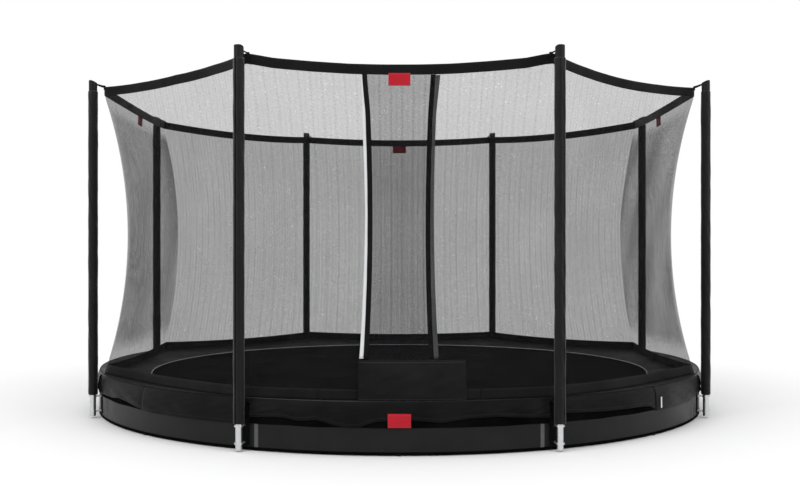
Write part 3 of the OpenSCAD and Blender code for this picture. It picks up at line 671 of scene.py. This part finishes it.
def net_map(half, x, t):
    """The cloth map of a net: distance along its upper edge and height, so that its courses run straight."""
    at_top = half_w(half, 1.0) * x / half_w(half, t)
    return np.stack(np.broadcast_arrays(at_top, t * NET_HEIGHT), -1)


def net_piece(name, half, mid, xs, seed, node, ends, depth=RIPPLE_DEPTH):
    """A net panel that tucks a little way into its hem and band. xs gives its columns for each height."""
    t = column(HEM_TOP, 1.0, NET_ROWS)
    x = xs(t)
    grid = rippled(half, mid, x, t, seed, depth, ends)
    grid[-1, :, 2] += NET_TUCK
    grid[0, :, 2] -= NET_TUCK
    made = sheet_piece(name, [strung(grid, mid)], NET, node=node, uvs=[net_map(half, x, t)])


def cloth_size(obj):
    uv = np.empty(len(obj.data.loops) * 2, np.float32)
    obj.data.uv_layers["cloth"].uv.foreach_get("vector", uv)
    uv = uv.reshape(-1, 2)
    return float(np.ptp(uv[:, 0])), float(np.ptp(uv[:, 1]))


for k in range(7):
    half = panel_half(k)
    reach = half_w(half, 1.0)
    columns = round(2 * reach / RIPPLE) * RIPPLE_STEPS
    spread = row(-1, 1, columns + 1)
    net_piece(f"net_side_{k + 1}", half, PANEL_MID[k], lambda t: spread * half_w(half, t), 10 + k,
              f"net_panel_{k + 1}", (-reach, reach))

front_half = panel_half(ENTRANCE)
front_root = FLAP_ROOT_X + SEAT / 2
for side, place in ((-1, "left"), (1, "right")):

    def front_columns(t, side=side):
        x = front_root + (half_w(front_half, t) - front_root) * row(0, 1, 241)
        return x if side > 0 else -x[:, ::-1]

    reach = half_w(front_half, 1.0)
    ends = (FLAP_ROOT_X, reach) if side > 0 else (-reach, -FLAP_ROOT_X)
    net_piece(f"net_{place}_of_entrance", front_half, FRONT_A, front_columns, 30 + side,
              f"net_front_{place}", ends, depth=0.0016)


# ---- top band and hem ----
def band_grid(half):
    """A panel's length of webbing: its long edges curl in a little, and it ripples faintly."""
    reach = half_w(half, 1.0) - SEAT / 2
    x, s = row(-reach, reach, 49), column(0, 1, 9)
    wobble = 0.0006 * np.sin(x * 31.0 + s * 1.3)
    curl = 0.0007 * (2 * s - 1) ** 2
    return net_point(half, x + 0 * s, 1.0, wobble - curl, 2 * SEAT + BAND_H * s)


def join_map(grids):
    """A cloth map for strips that follow each other, with v across the strip."""
    maps, start = [], 0.0
    for grid in grids:
        uv = cloth_uv(grid)
        uv[..., 0] += start - uv[:, :1, 0]
        start = float(uv[:, -1, 0].mean())
        maps.append(uv)
    return maps


band_grids = [strung(band_grid(panel_half(k)), PANEL_MID[k]) for k in range(8)]
band = sheet_piece("top_band_cloth", band_grids, WEBBING, BAND_T * 0.8, node="top_band",
                   uvs=join_map(band_grids))


def hem_grid(k, left=None, right=None, columns=40):
    """A panel's length of hem, from corner to corner or up to the root of an entrance flap."""
    half = panel_half(k)
    s = column(0, HEM_TOP, 7)
    left = -half_w(half, s) if left is None else left
    right = half_w(half, s) if right is None else right
    x = left + (right - left) * row(0, 1, columns + 1)
    return turned(net_point(half, x, s, 0.0005 * np.sin(x * 27.0)), PANEL_MID[k])


hem_grids = [hem_grid(k) for k in range(7)]
hem_grids.append(hem_grid(ENTRANCE, right=-front_root, columns=12))
hem_grids.append(hem_grid(ENTRANCE, left=front_root, columns=12))
hem = sheet_piece("net_hem_cloth", hem_grids, HEM, BAND_T * 0.75, node="net_hem",
                  uvs=join_map(hem_grids))


# ---- entrance flaps ----
# side is 1 for the outer flap, rooted on the right, and -1 for the inner one, rooted on the left
EDGE_LEAN = {1: 0.011, -1: 0.0045}
EDGE_FLARE = {1: 0.009, -1: 0.004}
# a flap gathers from its root to this distance past the middle, beside its binding
GATHER_END_X = 0.152
GATHER_YZ = (-1.95, 1.0)
BINDING_LOW = (THRESHOLD_H + STRIP_LIFT) / NET_HEIGHT
BINDING_TOP = 1 + 0.0002 / NET_HEIGHT
STRIP_TOP = 1 - STRIP_DROP / NET_HEIGHT
# the sewn strips' widths along their length, as shares of STRIP_W
OUTER_STRIP = ([0, 0.5, 0.85, 1], [0.82, 0.52, 0.7, 0.12])
INNER_STRIP = ([0, 0.5, 0.87, 1], [1.0, 0.7, 0.66, 0.95])


def edge_x(side, t):
    """How far a flap's sewn edge is past the middle: bowed, drifting outwards at its foot and its top."""
    foot = EDGE_LEAN[side] * np.clip((STRIP_TOP - t) / (STRIP_TOP - BINDING_LOW), 0, 1) ** 3
    bowed = FLAP_EDGE_X - FLAP_EDGE_BOW * 4 * t * (1 - t)
    return bowed + foot + EDGE_FLARE[side] * smooth_step(t, 0.87, 1.0)


def flap_off(x, t):
    """How far a flap stands off the plane of the net."""
    gap = FLAP_LOW_GAP + (FLAP_GAP - FLAP_LOW_GAP) * smooth_step(t, 0.14, 0.3)
    gap = gap - (gap - FLAP_TOP_GAP) * t**8
    return gap * np.clip((FLAP_ROOT_X - np.abs(x)) / FLAP_RAMP, 0, 1)


def flap_grid(side, low, high, rows, columns, depth):
    t = column(low, high, rows)
    share = row(0, 1, columns + 1)
    edge = -side * (edge_x(side, t) - BINDING_W * 0.7)
    x = edge + (side * FLAP_ROOT_X - edge) * share
    seed = 40 + side
    soft = within(share, 0.03, 0.14, 0.84, 0.97) * within(t, 0.02, 0.12, 0.86, 0.97)
    wave = np.sin(2 * math.pi * (x + 0.004 * np.sin(t * 11 + seed)) / RIPPLE) * depth
    wave = (wave + 0.0022 * ripple_noise(x * 7 + t * 4, 4, seed)) * soft
    grid = net_point(front_half, x, t, side * flap_off(x, t) + wave)
    uv = net_map(front_half, x, t)
    return (grid, uv) if side > 0 else (grid[:, ::-1], uv[:, ::-1])


def flap_edge_strip(side, near, far, columns, top):
    """Webbing along a flap's sewn edge, from near to far past it. far is given for each height."""
    t = column(BINDING_LOW, top, 90)
    share = row(0, 1, columns + 1)
    x = -side * (edge_x(side, t) + near + (far(t) - near) * share)
    s = (2 * share - 1) ** 2
    off = side * (flap_off(0.0 * x, t) - 0.0004 * s) + 0.0004 * np.sin(t * 60 + share * 2)
    grid = net_point(front_half, x, t, off)
    return turned(grid[:, ::-1] if side > 0 else grid, FRONT_A)


for name, side, shares, strip_paint, strip_slot in (
    ("outer_flap", 1, OUTER_STRIP, PALE, "pale_strip"),
    ("inner_flap", -1, INNER_STRIP, GREY, "grey_strip"),
):
    start, end = (side * FLAP_ROOT_X, *GATHER_YZ), (-side * GATHER_END_X, *GATHER_YZ)
    grid, uv = flap_grid(side, 0.0, 1.0, 64, 300, 0.0009)
    net = sheet_piece(f"{name}_cloth", [strung(grid, FRONT_A)], NET, body=None,
                      node=f"{name}_net", uvs=[uv])
    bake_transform(net)
    low = turned(flap_grid(side, 0.0, HEM_TOP, 7, 96, 0.0)[0], FRONT_A)
    flap_hem = sheet_piece(f"{name}_hem", [low], HEM, BAND_T * 0.6, body=None)
    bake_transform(flap_hem)

    def strip_far(t, shares=shares):
        along = (t - BINDING_LOW) / (STRIP_TOP - BINDING_LOW)
        return SEAT + STRIP_W * np.interp(along, *shares)

    grid = flap_edge_strip(side, -BINDING_SEEN_W, lambda t: 0 * t, 6, BINDING_TOP)
    binding = sheet_piece(f"{name}_binding_cloth", [grid], BINDING, BINDING_T * 0.8, name,
                          f"{name}_binding")
    grid = flap_edge_strip(side, SEAT, strip_far, 4, STRIP_TOP)
    strip = sheet_piece(f"{name}_strip_cloth", [grid], strip_paint, BINDING_T * 0.7, name,
                        f"{name}_strip")
    width, length = cloth_size(flap_hem)
    width, length = cloth_size(strip)

# ---- threshold panel: loose cloth with soft creases, hung before the flaps' lower ends ----
t = column(0.0, THRESHOLD_H / NET_HEIGHT, 40)
x = row(*THRESHOLD_X, 90) + 0 * t
s = t / t[-1, 0]
crease = 0.0022 * np.sin(9 * x + 7 * s) * np.sin(5 * s + 2) + 0.0011 * np.abs(np.sin(12.4 * x - 6 * s))
crease = crease + 0.0048 * np.sin(31 * x - 17 * s + 1.0) * s * (1 - s) - 0.0006
off = THRESHOLD_OFF + np.maximum(crease, -0.0004) * smooth_step(s, 0.0, 0.12)
grid = turned(net_point(front_half, x, t, off), FRONT_A)
threshold = sheet_piece("threshold_cloth", [grid], THRESHOLD, 0.0016, node="threshold_panel")


# ---- pad: a crowned, sloping top and a hanging skirt ----
PAD_TOP_LINES = 34
PAD_EDGE_R = 2.1466
PAD_RIM_R = np.array([2.1415, 2.1436, 2.1452, 2.1462, PAD_EDGE_R])
PAD_RIM_FALL = np.array([0.0001, 0.0008, 0.0024, 0.0060, 0.0120])
PAD_SEAM_R = (1.8165, 2.1265)
PAD_NOSE = np.array([(0.0020, 0.2368), (0.0004, 0.2386), (0.0003, 0.2418), (0.0016, 0.2434)])
PAD_UNDER = np.array(
    [(2.1464, 0.262), (2.1440, 0.2545), (2.136, 0.253), (2.0902, 0.253), (2.0698, 0.2482), (1.8862, 0.2482),
     (1.8655, 0.2368)]
)
PAD_GAP = math.degrees(SEAT / 2 / PAD_IN_R)


def pad_profile(a, seed):
    """Radius and height round the pad's section at each angle: up its inner edge, over and back below."""
    top_r = np.concatenate([np.linspace(PAD_IN_R + 0.004, 2.139, PAD_TOP_LINES), PAD_RIM_R])
    fall = np.concatenate([np.zeros(PAD_TOP_LINES), PAD_RIM_FALL])
    across = (top_r - PAD_IN_R) / (PAD_OUT_R - PAD_IN_R)
    crown = np.sin(np.pi * np.clip(across, 0, 1))
    section_end = np.abs((a - FRONT_A + 45) % 90 - 45) / 45
    pinch = smooth_step(section_end, 0.985, 1.0)[:, None] * np.sin(np.pi * np.clip(across, 0.03, 0.97))
    puckers = ripple_noise(a[:, None] * 2.2 + across * 3, 5, seed) * crown
    seams = sum(np.exp(-(((top_r - r) / 0.0022) ** 2)) for r in PAD_SEAM_R)
    slope = np.interp(top_r, PAD_FACE_R, PAD_FACE_Z) - fall
    top_z = slope + 0.0014 * crown - 0.003 * pinch + 0.0009 * puckers - 0.0016 * seams
    r = np.concatenate([PAD_IN_R + PAD_NOSE[:, 0], top_r, PAD_UNDER[:, 0]])
    nose_z, under_z = (np.tile(part[:, 1], (len(a), 1)) for part in (PAD_NOSE, PAD_UNDER))
    return np.tile(r, (len(a), 1)), np.concatenate([nose_z, top_z, under_z], 1)


SLIT_HALF_A = math.degrees(SLIT_W / 2 / PAD_OUT_R)
SLIT_SOFT_A = SLIT_HALF_A + 1.7
SKIRT_FIX_Z = 0.24
SKIRT_MAX_R = 2.1745
SKIRT_HANG_Z = np.array([0.160, 0.200, 0.235, 0.262, 0.279, 0.2888])
SKIRT_HANG_R = np.array([2.1690, 2.1692, 2.1662, 2.1602, 2.1532, 2.1476])
SKIRT_TOP_Z = np.array(
    [0.246, 0.252, 0.258, 0.262, 0.267, 0.272, 0.276, 0.279, 0.281, 0.282, 0.2835, 0.285, 0.287, 0.2888]
)
# heights and radius of the dark band below the skirt's fold, which is painted shade
SKIRT_LOW_Z = np.array([SKIRT_Z, SKIRT_Z + 0.0015, 0.158, 0.168, 0.180, 0.195, 0.210, 0.224])
SKIRT_LOW_R = 2.1588
# how the skirt's lower fold turns under: radius and height of its last rows, from the crease
CURL = np.array([(-0.0050, -0.0072), (-0.0022, -0.0066), (-0.0004, -0.0036)])[:, :, None]
# the height of that fold by angle, read from the photo's outline at the front
CREASE_MM = (
    (-160, 176), (-152, 184), (-149.2, 185), (-146.6, 184), (-143.7, 197), (-139, 181), (-133.5, 154),
    (-124.8, 153), (-114.5, 153), (-112.8, 193), (-109.1, 200.5), (-106.8, 202), (-105.2, 188.5),
    (-104, 187.7), (-102.2, 198), (-100.7, 184), (-99.3, 169.5), (-97.1, 158), (-95.7, 161.7), (-94.2, 184),
    (-92.8, 195), (-88, 199), (-84, 186), (-80, 206), (-75.5, 211), (-73.2, 202), (-67.9, 190),
    (-66.4, 206), (-64.9, 209), (-61, 203), (-57, 197), (-53, 196), (-50.2, 196), (-46.6, 190),
    (-44.6, 153.5), (-38, 153), (-31.1, 154), (-20, 176),
)


def crease_z(a):
    """The height of the skirt's lower fold: it sags unevenly, at the front as in the photograph."""
    fine = np.arange(-180.0, 180.0, 0.1)
    front = np.interp(fine, *zip(*CREASE_MM)) / 1000
    behind = 0.178 + np.clip(0.02 * ripple_noise(np.radians(fine), 6, 11, 9.0, 34.0), -0.024, 0.028)
    share = smooth_step(np.abs(fine - FRONT_A), 60.0, 70.0)
    window = np.hanning(17)
    whole = np.convolve(np.tile(front * (1 - share) + behind * share, 3), window / window.sum(), "same")
    return np.interp((a + 180) % 360, fine + 180, whole[len(fine) : 2 * len(fine)])


def from_poles(a):
    """The signed angles to each pole."""
    return [(a - pole + 180) % 360 - 180 for pole in POLE_ANGLES]


def slit_half_at(z):
    """Half of a slit's width at each height, in degrees: straight, then rounded in towards its top."""
    rising = np.clip((z - SLIT_ROUND_Z) / (SLIT_TOP_Z - SLIT_ROUND_Z), 0, 1)
    arch = 1 - 0.6 * (1 - np.sqrt(1 - rising**2))
    back = smooth_step(z, SLIT_TOP_Z, SLIT_TOP_Z + 0.005)
    return SLIT_HALF_A * (arch + (1 - arch) * back)


def slit_warp(a, z):
    """Angles moved so that the columns beside a slit follow its rounded outline."""
    half = slit_half_at(z)
    moved = a + 0 * z
    for gap in from_poles(a):
        size = np.abs(gap)
        inner = gap * half / SLIT_HALF_A
        beyond = (size - SLIT_HALF_A) / (SLIT_SOFT_A - SLIT_HALF_A)
        outer = np.sign(gap) * (half + beyond * (SLIT_SOFT_A - half))
        beside = np.where(size < SLIT_SOFT_A, outer - gap, 0.0)
        moved = moved + np.where(size <= SLIT_HALF_A + 1e-6, inner - gap, beside)
    return moved


def slit_gap(a):
    """How far an angle is from the middle of the nearest slit, in degrees."""
    return np.min(np.abs(from_poles(a)), axis=0)


def skirt_piece(name, grid, cut_rows, in_slit, material, thick):
    """A hanging cloth whose lowest rows of cells are cut out at the slits."""
    cells = np.ones((len(grid) - 1, grid.shape[1] - 1), bool)
    cells[:cut_rows, in_slit] = False
    made = sheet_piece(name, [grid], material, thick, masks=[cells])


for section in range(4):
    middle = FRONT_A + 90 * section
    first_a, last_a = middle - 45 + PAD_GAP, middle + 45 - PAD_GAP
    pad_name, skirt_name = f"pad_{section + 1}", f"skirt_{section + 1}"
    a = np.linspace(first_a, last_a, 241)
    r, z = pad_profile(a, 60 + section)
    run = np.radians(a)[:, None] * 2.0 + 0 * r
    lap = np.cumsum(np.hypot(np.diff(r, axis=1), np.diff(z, axis=1)), 1)
    uv = np.stack([run, np.concatenate([np.zeros((len(a), 1)), lap], 1)], -1)
    top = loft_piece(pad_name, [polar(r, a[:, None], z)], PAD_TOP,
                     node=f"pad_section_{section + 1}", uvs=[uv])

    marks = [np.linspace(first_a, last_a + 0.35, 423)]
    for pole in (middle - POLE_A, middle + POLE_A):
        marks += [pole + side * np.linspace(SLIT_HALF_A, SLIT_SOFT_A, 9) for side in (-1, 1)]
        marks.append(pole + np.linspace(-SLIT_HALF_A, SLIT_HALF_A, 7))
    a = np.unique(np.round(np.concatenate(marks), 5))
    turn = np.radians(a)[None, :]
    in_slit = slit_gap((a[1:] + a[:-1]) / 2) < SLIT_HALF_A
    # each section's ends are tucked in under the next one
    tuck = 0.0022 * smooth_step(a, last_a - 1.6, last_a) + 0.0005 * smooth_step(-a, -a[0] - 0.5, -a[0])

    fold = crease_z(a)[None, :]
    hanging = fold + (SKIRT_FIX_Z - fold) * column(0, 1, 11)
    z = np.concatenate([fold + CURL[:, 1], hanging, SKIRT_TOP_Z[:, None] + 0 * fold])
    loose = np.clip((0.284 - z) / 0.07, 0, 1) ** 1.2
    broad = 0.0026 * ripple_noise(turn, 6, 5, 12.0, 46.0)
    slanted = 0.0020 * ripple_noise(turn + 1.3 * z, 5, 6, 30.0, 64.0)
    slanted = slanted + 0.0010 * ripple_noise(turn - 2.0 * z, 4, 8, 60.0, 110.0)
    r = np.interp(z, SKIRT_HANG_Z, SKIRT_HANG_R) + np.clip(broad + slanted, -0.0042, 0.0034) * loose
    r[: len(CURL)] = r[len(CURL)] + CURL[:, 0]
    turned_back = np.exp(-(((slit_gap(a) - SLIT_HALF_A) / 0.3) ** 2)) * np.clip((0.286 - z) / 0.02, 0, 1)
    r = np.minimum(r + 0.005 * turned_back, SKIRT_MAX_R) - tuck
    slit_rows = len(CURL) + len(hanging) + int(np.searchsorted(SKIRT_TOP_Z, SLIT_TOP_Z - 1e-6))
    grid = polar(r, slit_warp(a[None, :], z), z)
    skirt_piece(skirt_name, grid, slit_rows, in_slit, SKIRT, 0.0022)

    # below the fold a darker, matte band hangs where only shade falls: painted shade
    z = SKIRT_LOW_Z[:, None]
    sag = 0.0014 * ripple_noise(turn, 5, 21, 14.0, 50.0) * np.clip((0.2 - z) / 0.05, 0, 1)
    r = SKIRT_LOW_R + 0.0010 * ripple_noise(turn + z, 5, 22, 20.0, 70.0) - tuck
    r = r - 0.0012 * np.exp(-(((z - SKIRT_Z) / 0.001) ** 2))
    grid = polar(r, a[None, :], z + sag)
    skirt_piece(f"skirt_shade_band_{section + 1}", grid, len(z), in_slit, SKIRT_SHADE_BAND, 0.0018)

ring_a = circle(480)
piping_r = PAD_IN_R * math.cos(math.radians(45 / 40)) - SEAT - PIPING_D / 2
piping_r = piping_r + 0.0004 * ripple_noise(np.radians(ring_a) * 20, 3, 3)
path = polar(piping_r, ring_a, PAD_IN_Z - PIPING_D / 2)
loft_piece("pad_piping_cloth", [tube_points(path, PIPING_D / 2, 10, True)], PIPING,
           node="pad_piping", closed_path=True)
for section in range(4):
    middle = FRONT_A + 90 * section
    a = np.linspace(middle - 45 + PAD_GAP, middle + 45 - PAD_GAP, 181)
    cord = tube_points(polar(PAD_EDGE_R, a, 0.2898), 0.0023, 8)
    loft_piece(f"pad_edge_{section + 1}", [cord], EDGE_PIPING)


# ---- sleeves and their cords ----
SLEEVE_OVER = 0.0014
SLEEVE_END_R = POLE_D / 2 + 0.0006
# how far the sewn seam is turned from straight outwards, on the right and on the left, as in the photo
SEAM_TURN = (13.0, -4.0)
for n, angle in enumerate(POLE_ANGLES):
    z = SLEEVE_Z + np.concatenate([[0, 0.0015, 0.005], np.linspace(0.012, 1.994, 150), [2.001, 2.0055, 0]])
    z[-1] = POLE_TOP_Z - CAP_H
    seam_a = angle + SEAM_TURN[0 if math.cos(math.radians(angle)) > 0 else 1]
    turn = seam_a + 180 + circle(40)
    end = np.minimum(z - z[0], z[-1] - z)
    tuck = 0.004 * (1 - np.clip(end / 0.010, 0, 1))[:, None] ** 2
    bulge = 0.0007 * ripple_noise(z * 9 + n, 4, 70 + n)[:, None]
    bulge = bulge + 0.0008 * ripple_noise(z[:, None] * 17 + np.radians(turn) * 2, 4, 80 + n)
    gap = np.abs((turn - seam_a + 180) % 360 - 180)
    seam = 0.0030 * np.exp(-((gap / 7.0) ** 2))[None, :]
    radius = SLEEVE_D / 2 + SLEEVE_OVER - tuck + bulge - seam
    outer = polar(radius, turn[None, :], z[:, None])
    ends = outer[[0, -1]].copy()
    ends[..., :2] *= (SLEEVE_END_R / radius[[0, -1]])[..., None]
    rings = np.concatenate([ends[:1], outer, ends[1:]]) + polar(POLE_RING_R, angle, 0.0)
    around = np.broadcast_to(np.radians(turn - turn[0]) * SLEEVE_D / 2, rings.shape[:2])
    sleeve = loft_piece(f"sleeve_{n + 1}", [rings], SLEEVE, closed_path=True,
                        node=None if n else "pole_sleeves", uvs=[np.stack([around, rings[..., 2]], -1)])

CORD_R = 0.0046
CORD_KNOT = 0.0010
CORD_RUN = ((2.1850, 0.0060, 2.2060), (2.1700, 0.0095, 2.1995), (2.1500, 0.0150, 2.1905),
            (2.1390, 0.0175, 2.1858), (2.1358, 0.0180, 2.1826), (2.1351, 0.0180, 2.1750),
            (2.1351, 0.0180, 2.1660))
cord_parts = []
for angle in POLE_ANGLES:
    for side in (-1, 1):
        run = turned(smooth_path([(p[0], side * p[1], p[2]) for p in CORD_RUN]), angle)
        share = np.linspace(0, 1, len(run))
        thick = CORD_R + CORD_KNOT * np.exp(-(((share - 0.97) / 0.04) ** 2))
        run[:, 2] += band_lift(*run[-1, :2]) * smooth_step(share, 0.0, 0.7)
        cord_parts.append(tube_points(run, thick, 8))
loft_piece("cap_cords", cord_parts, CORD, node="cap_straps")


# ---- mat and springs ----
MAT_SIDES = 180
MAT_SAG = 0.0022
MAT_CLOTH_T = 0.0016
MAT_WEB = ((-MAT_WEB_W, -0.0034), (-0.0004, -0.0034), (-0.0002, -0.0026), (-MAT_WEB_W, -0.0024))
WEB_LOOP = ((-0.020, -0.0030), (0.0006, -0.0050), (0.0052, -0.0052), (0.0066, -0.0032), (0.0052, -0.0012),
            (0.0006, -0.0008), (-0.0005, -0.0014), (0.0046, -0.0020), (0.0054, -0.0032), (0.0046, -0.0044),
            (-0.0005, -0.0042), (-0.020, -0.0024))


def disc_skin(height, flip):
    """One face of the mat, added ring by ring from its middle. Returns the first point of its outer edge."""
    base = len(mat_points)
    radius = mat_rings[:, None]
    along = 0.0004 * np.sin(5 * np.radians(mat_a)) * (radius / MAT_R) * (1 - radius / MAT_R) * 4
    skin = polar(radius, mat_a, height - MAT_SAG * (1 - (radius / MAT_R) ** 2) + along).reshape(-1, 3)
    mat_points.extend([(0.0, 0.0, height - MAT_SAG), *skin])
    for j in range(MAT_SIDES):
        k = (j + 1) % MAT_SIDES
        cells = [(base, base + 1 + j, base + 1 + k)]
        for start in range(base + 1, base + 1 + (len(mat_rings) - 1) * MAT_SIDES, MAT_SIDES):
            cells.append((start + j, start + MAT_SIDES + j, start + MAT_SIDES + k, start + k))
        mat_faces.extend(cell[::-1] if flip else cell for cell in cells)
    return len(mat_points) - MAT_SIDES


mat_rings = np.concatenate([np.linspace(0.06, MAT_R - MAT_WEB_W, 30),
                            np.linspace(MAT_R - MAT_WEB_W + 0.004, MAT_R - 0.0004, 8)])
mat_a = circle(MAT_SIDES)
mat_points, mat_faces = [], []
top_edge = disc_skin(MAT_TOP_Z, False)
low_edge = disc_skin(MAT_TOP_Z - MAT_CLOTH_T, True)
for j in range(MAT_SIDES):
    k = (j + 1) % MAT_SIDES
    mat_faces.append((top_edge + k, top_edge + j, low_edge + j, low_edge + k))
mat = make_object("mat_cloth", mat_points, mat_faces, np.array(mat_points)[:, :2])
dress(mat, MAT_CLOTH, "mat", "jump_mat")

web = np.stack([polar(MAT_R + p[0], circle(240), MAT_TOP_Z + p[1]) for p in MAT_WEB], 1)
loft_piece("mat_webbing", [web], MAT_WEBBING, "mat", closed_path=True)

SPRING_ANGLES = (np.arange(SPRINGS) + 0.5) * 360 / SPRINGS
loop = np.array([[(MAT_R + p[0], side * 0.011, MAT_TOP_Z + p[1]) for p in WEB_LOOP] for side in (-1, 1)])
loops = [turned(loop, angle) for angle in SPRING_ANGLES]
loft_piece("mat_ring_loops", loops, MAT_WEBBING, "mat")

SPRING_TURNS = 24
HOOK = 0.02
length = SPRING_OUT_R - SPRING_IN_R
coil_r = SPRING_D / 2 - WIRE_D / 2 - 0.0006
steps = np.linspace(0, 1, SPRING_TURNS * 12 + 1)
coil_x = HOOK + (length - 2 * HOOK) * steps
grow = within(steps, 0.0, 0.045, 0.955, 1.0)
phase = 2 * math.pi * SPRING_TURNS * steps
coil = np.stack([coil_x, coil_r * grow * np.sin(phase), coil_r * grow * np.cos(phase)], -1)
hook_in, hook_out = np.zeros((6, 3)), np.zeros((6, 3))
hook_in[:, 0] = np.linspace(0.001, HOOK - 0.001, 6)
hook_out[:, 0] = np.linspace(length - HOOK + 0.001, length - 0.001, 6)
spring_rings = tube_points(np.concatenate([hook_in, coil, hook_out]), WIRE_D / 2 * 0.82, 6)
for n, angle in enumerate(SPRING_ANGLES):
    placed = turned(spring_rings + [SPRING_IN_R, 0, SPRING_Z], angle)
    spring = loft_piece(f"spring_{n + 1}", [placed], SPRING_STEEL, body=None,
                        node=None if n else "springs")
    outer_end = tuple(polar(SPRING_OUT_R - 0.004, angle, SPRING_Z))
    inner_end = tuple(polar(SPRING_IN_R + 0.004, angle, SPRING_Z))
    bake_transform(spring)


# ---- tabs ----
def tab(name, size, face, low, angle, lean, material=RED, thick=0.0012, along=0.0):
    """A woven tab that hangs from its upper edge, with a soft bow across it."""
    s, x = column(0, 1, 15), row(-0.5, 0.5, 21)
    out = face + lean * (1 - s) ** 1.5 + 0.0012 * np.cos(math.pi * x) * (1 - s)
    grid = np.stack(np.broadcast_arrays(out, along + size[0] * x, low + size[1] * s), -1)
    slot, node = ("red_tab", "label_tabs") if material == RED else ("pale_strip", None)
    made = sheet_piece(name, [strung(grid, angle)], material, thick, node=node)


TAB_SIZE = (0.123, 0.072)
TAB_LOW_Z = BAND_Z - BAND_SAG + 0.010 - TAB_SIZE[1]
band_face = waist_r(1.0) * math.cos(front_half) - BOW + BAND_T / 2 + 0.0018
# the tabs at the sides hang a little nearer to the entrance
for n, along in enumerate((0.0, -0.095, 0.0, 0.095)):
    tab(f"band_tab_{n + 1}", TAB_SIZE, band_face, TAB_LOW_Z, FRONT_A + 90 * n, 0.002, along=along)
tab("skirt_tab", (0.125, 0.075), 2.1742, SKIRT_Z + 0.004, FRONT_A, 0.0004)
tab("side_tab", (0.014, 0.066), 2.1735, 0.160, FRONT_A + 46.4, 0.001, WHITE_TAB, 0.0009)


# ---- stage, light and camera ----
FLOOR_Z = -0.0006
floor_mesh = bpy.data.meshes.new("floor")
floor_mesh.from_pydata([(-60, -60, 0), (60, -60, 0), (60, 60, 0), (-60, 60, 0)], [], [(0, 1, 2, 3)])
floor = bpy.data.objects.new("floor", floor_mesh)
floor.location.z = FLOOR_Z
scene.collection.objects.link(floor)
# the floor keeps the shadow near the ring and turns to plain white light between these distances
WHITE_R = (2.5, 4.2)
ground = Paint("floor_paper", Roughness=0.85)
ground.set("Base Color", ground.mix(ground.noise(0.9, 3.0), (0.93, 0.93, 0.93), (0.95, 0.95, 0.95)))
distance = ground.node("ShaderNodeVectorMath", (ground.place(),), operation="LENGTH")["Value"]
white = ground.times(ground.spread(distance, *WHITE_R), ground.backdrop_rays())
glow = ground.node("ShaderNodeEmission", ((1.0, 1.0, 1.0, 1.0), 1.0))[0]
surface = ground.node("ShaderNodeMixShader", (white, ground.shader.outputs[0], glow))[0]
output = next(n for n in ground.tree.nodes if n.type == "OUTPUT_MATERIAL")
ground.put(output.inputs[0], surface)
floor_mesh.materials.append(ground.material)

WORLD_LIGHT = 0.6
world = bpy.data.worlds.new("studio")
world.use_nodes = True
scene.world = world
sky = Nodes(world.node_tree)
back = next(n for n in sky.tree.nodes if n.type == "BACKGROUND")
sky.put(back.inputs["Strength"], sky.math("MAXIMUM", sky.backdrop_rays(), WORLD_LIGHT))
back.inputs["Color"].default_value = (1.0, 1.0, 1.0, 1.0)


def lamp(name, place, aim_z, size, power):
    """A soft round light, aimed at a point above the middle."""
    data = bpy.data.lights.new(name, "AREA")
    data.shape = "DISK"
    data.size = size
    data.energy = power
    made = bpy.data.objects.new(name, data)
    made.location = place
    made.rotation_mode = "QUATERNION"
    made.rotation_quaternion = (Vector((0, 0, aim_z)) - Vector(place)).to_track_quat("-Z", "Y")
    scene.collection.objects.link(made)


lamp("key", (-7.5, -8.0, 6.5), 0.9, 5.0, 335)
lamp("fill", (8.0, -7.0, 5.0), 0.9, 5.0, 230)
lamp("top", (0.0, -1.0, 9.5), 0.0, 8.0, 370)

camera_data = bpy.data.cameras.new("camera")
camera_data.sensor_width = 36.0
camera_data.lens = 45.63
camera_data.shift_x = 0.00075
camera_data.shift_y = 0.00375
camera_data.clip_end = 200.0
camera = bpy.data.objects.new("camera", camera_data)
camera.location = (0.0, -7.589, 1.0895)
camera.rotation_euler = (math.radians(90), 0, 0)
scene.collection.objects.link(camera)
scene.camera = camera
scene.view_settings.view_transform = "Standard"
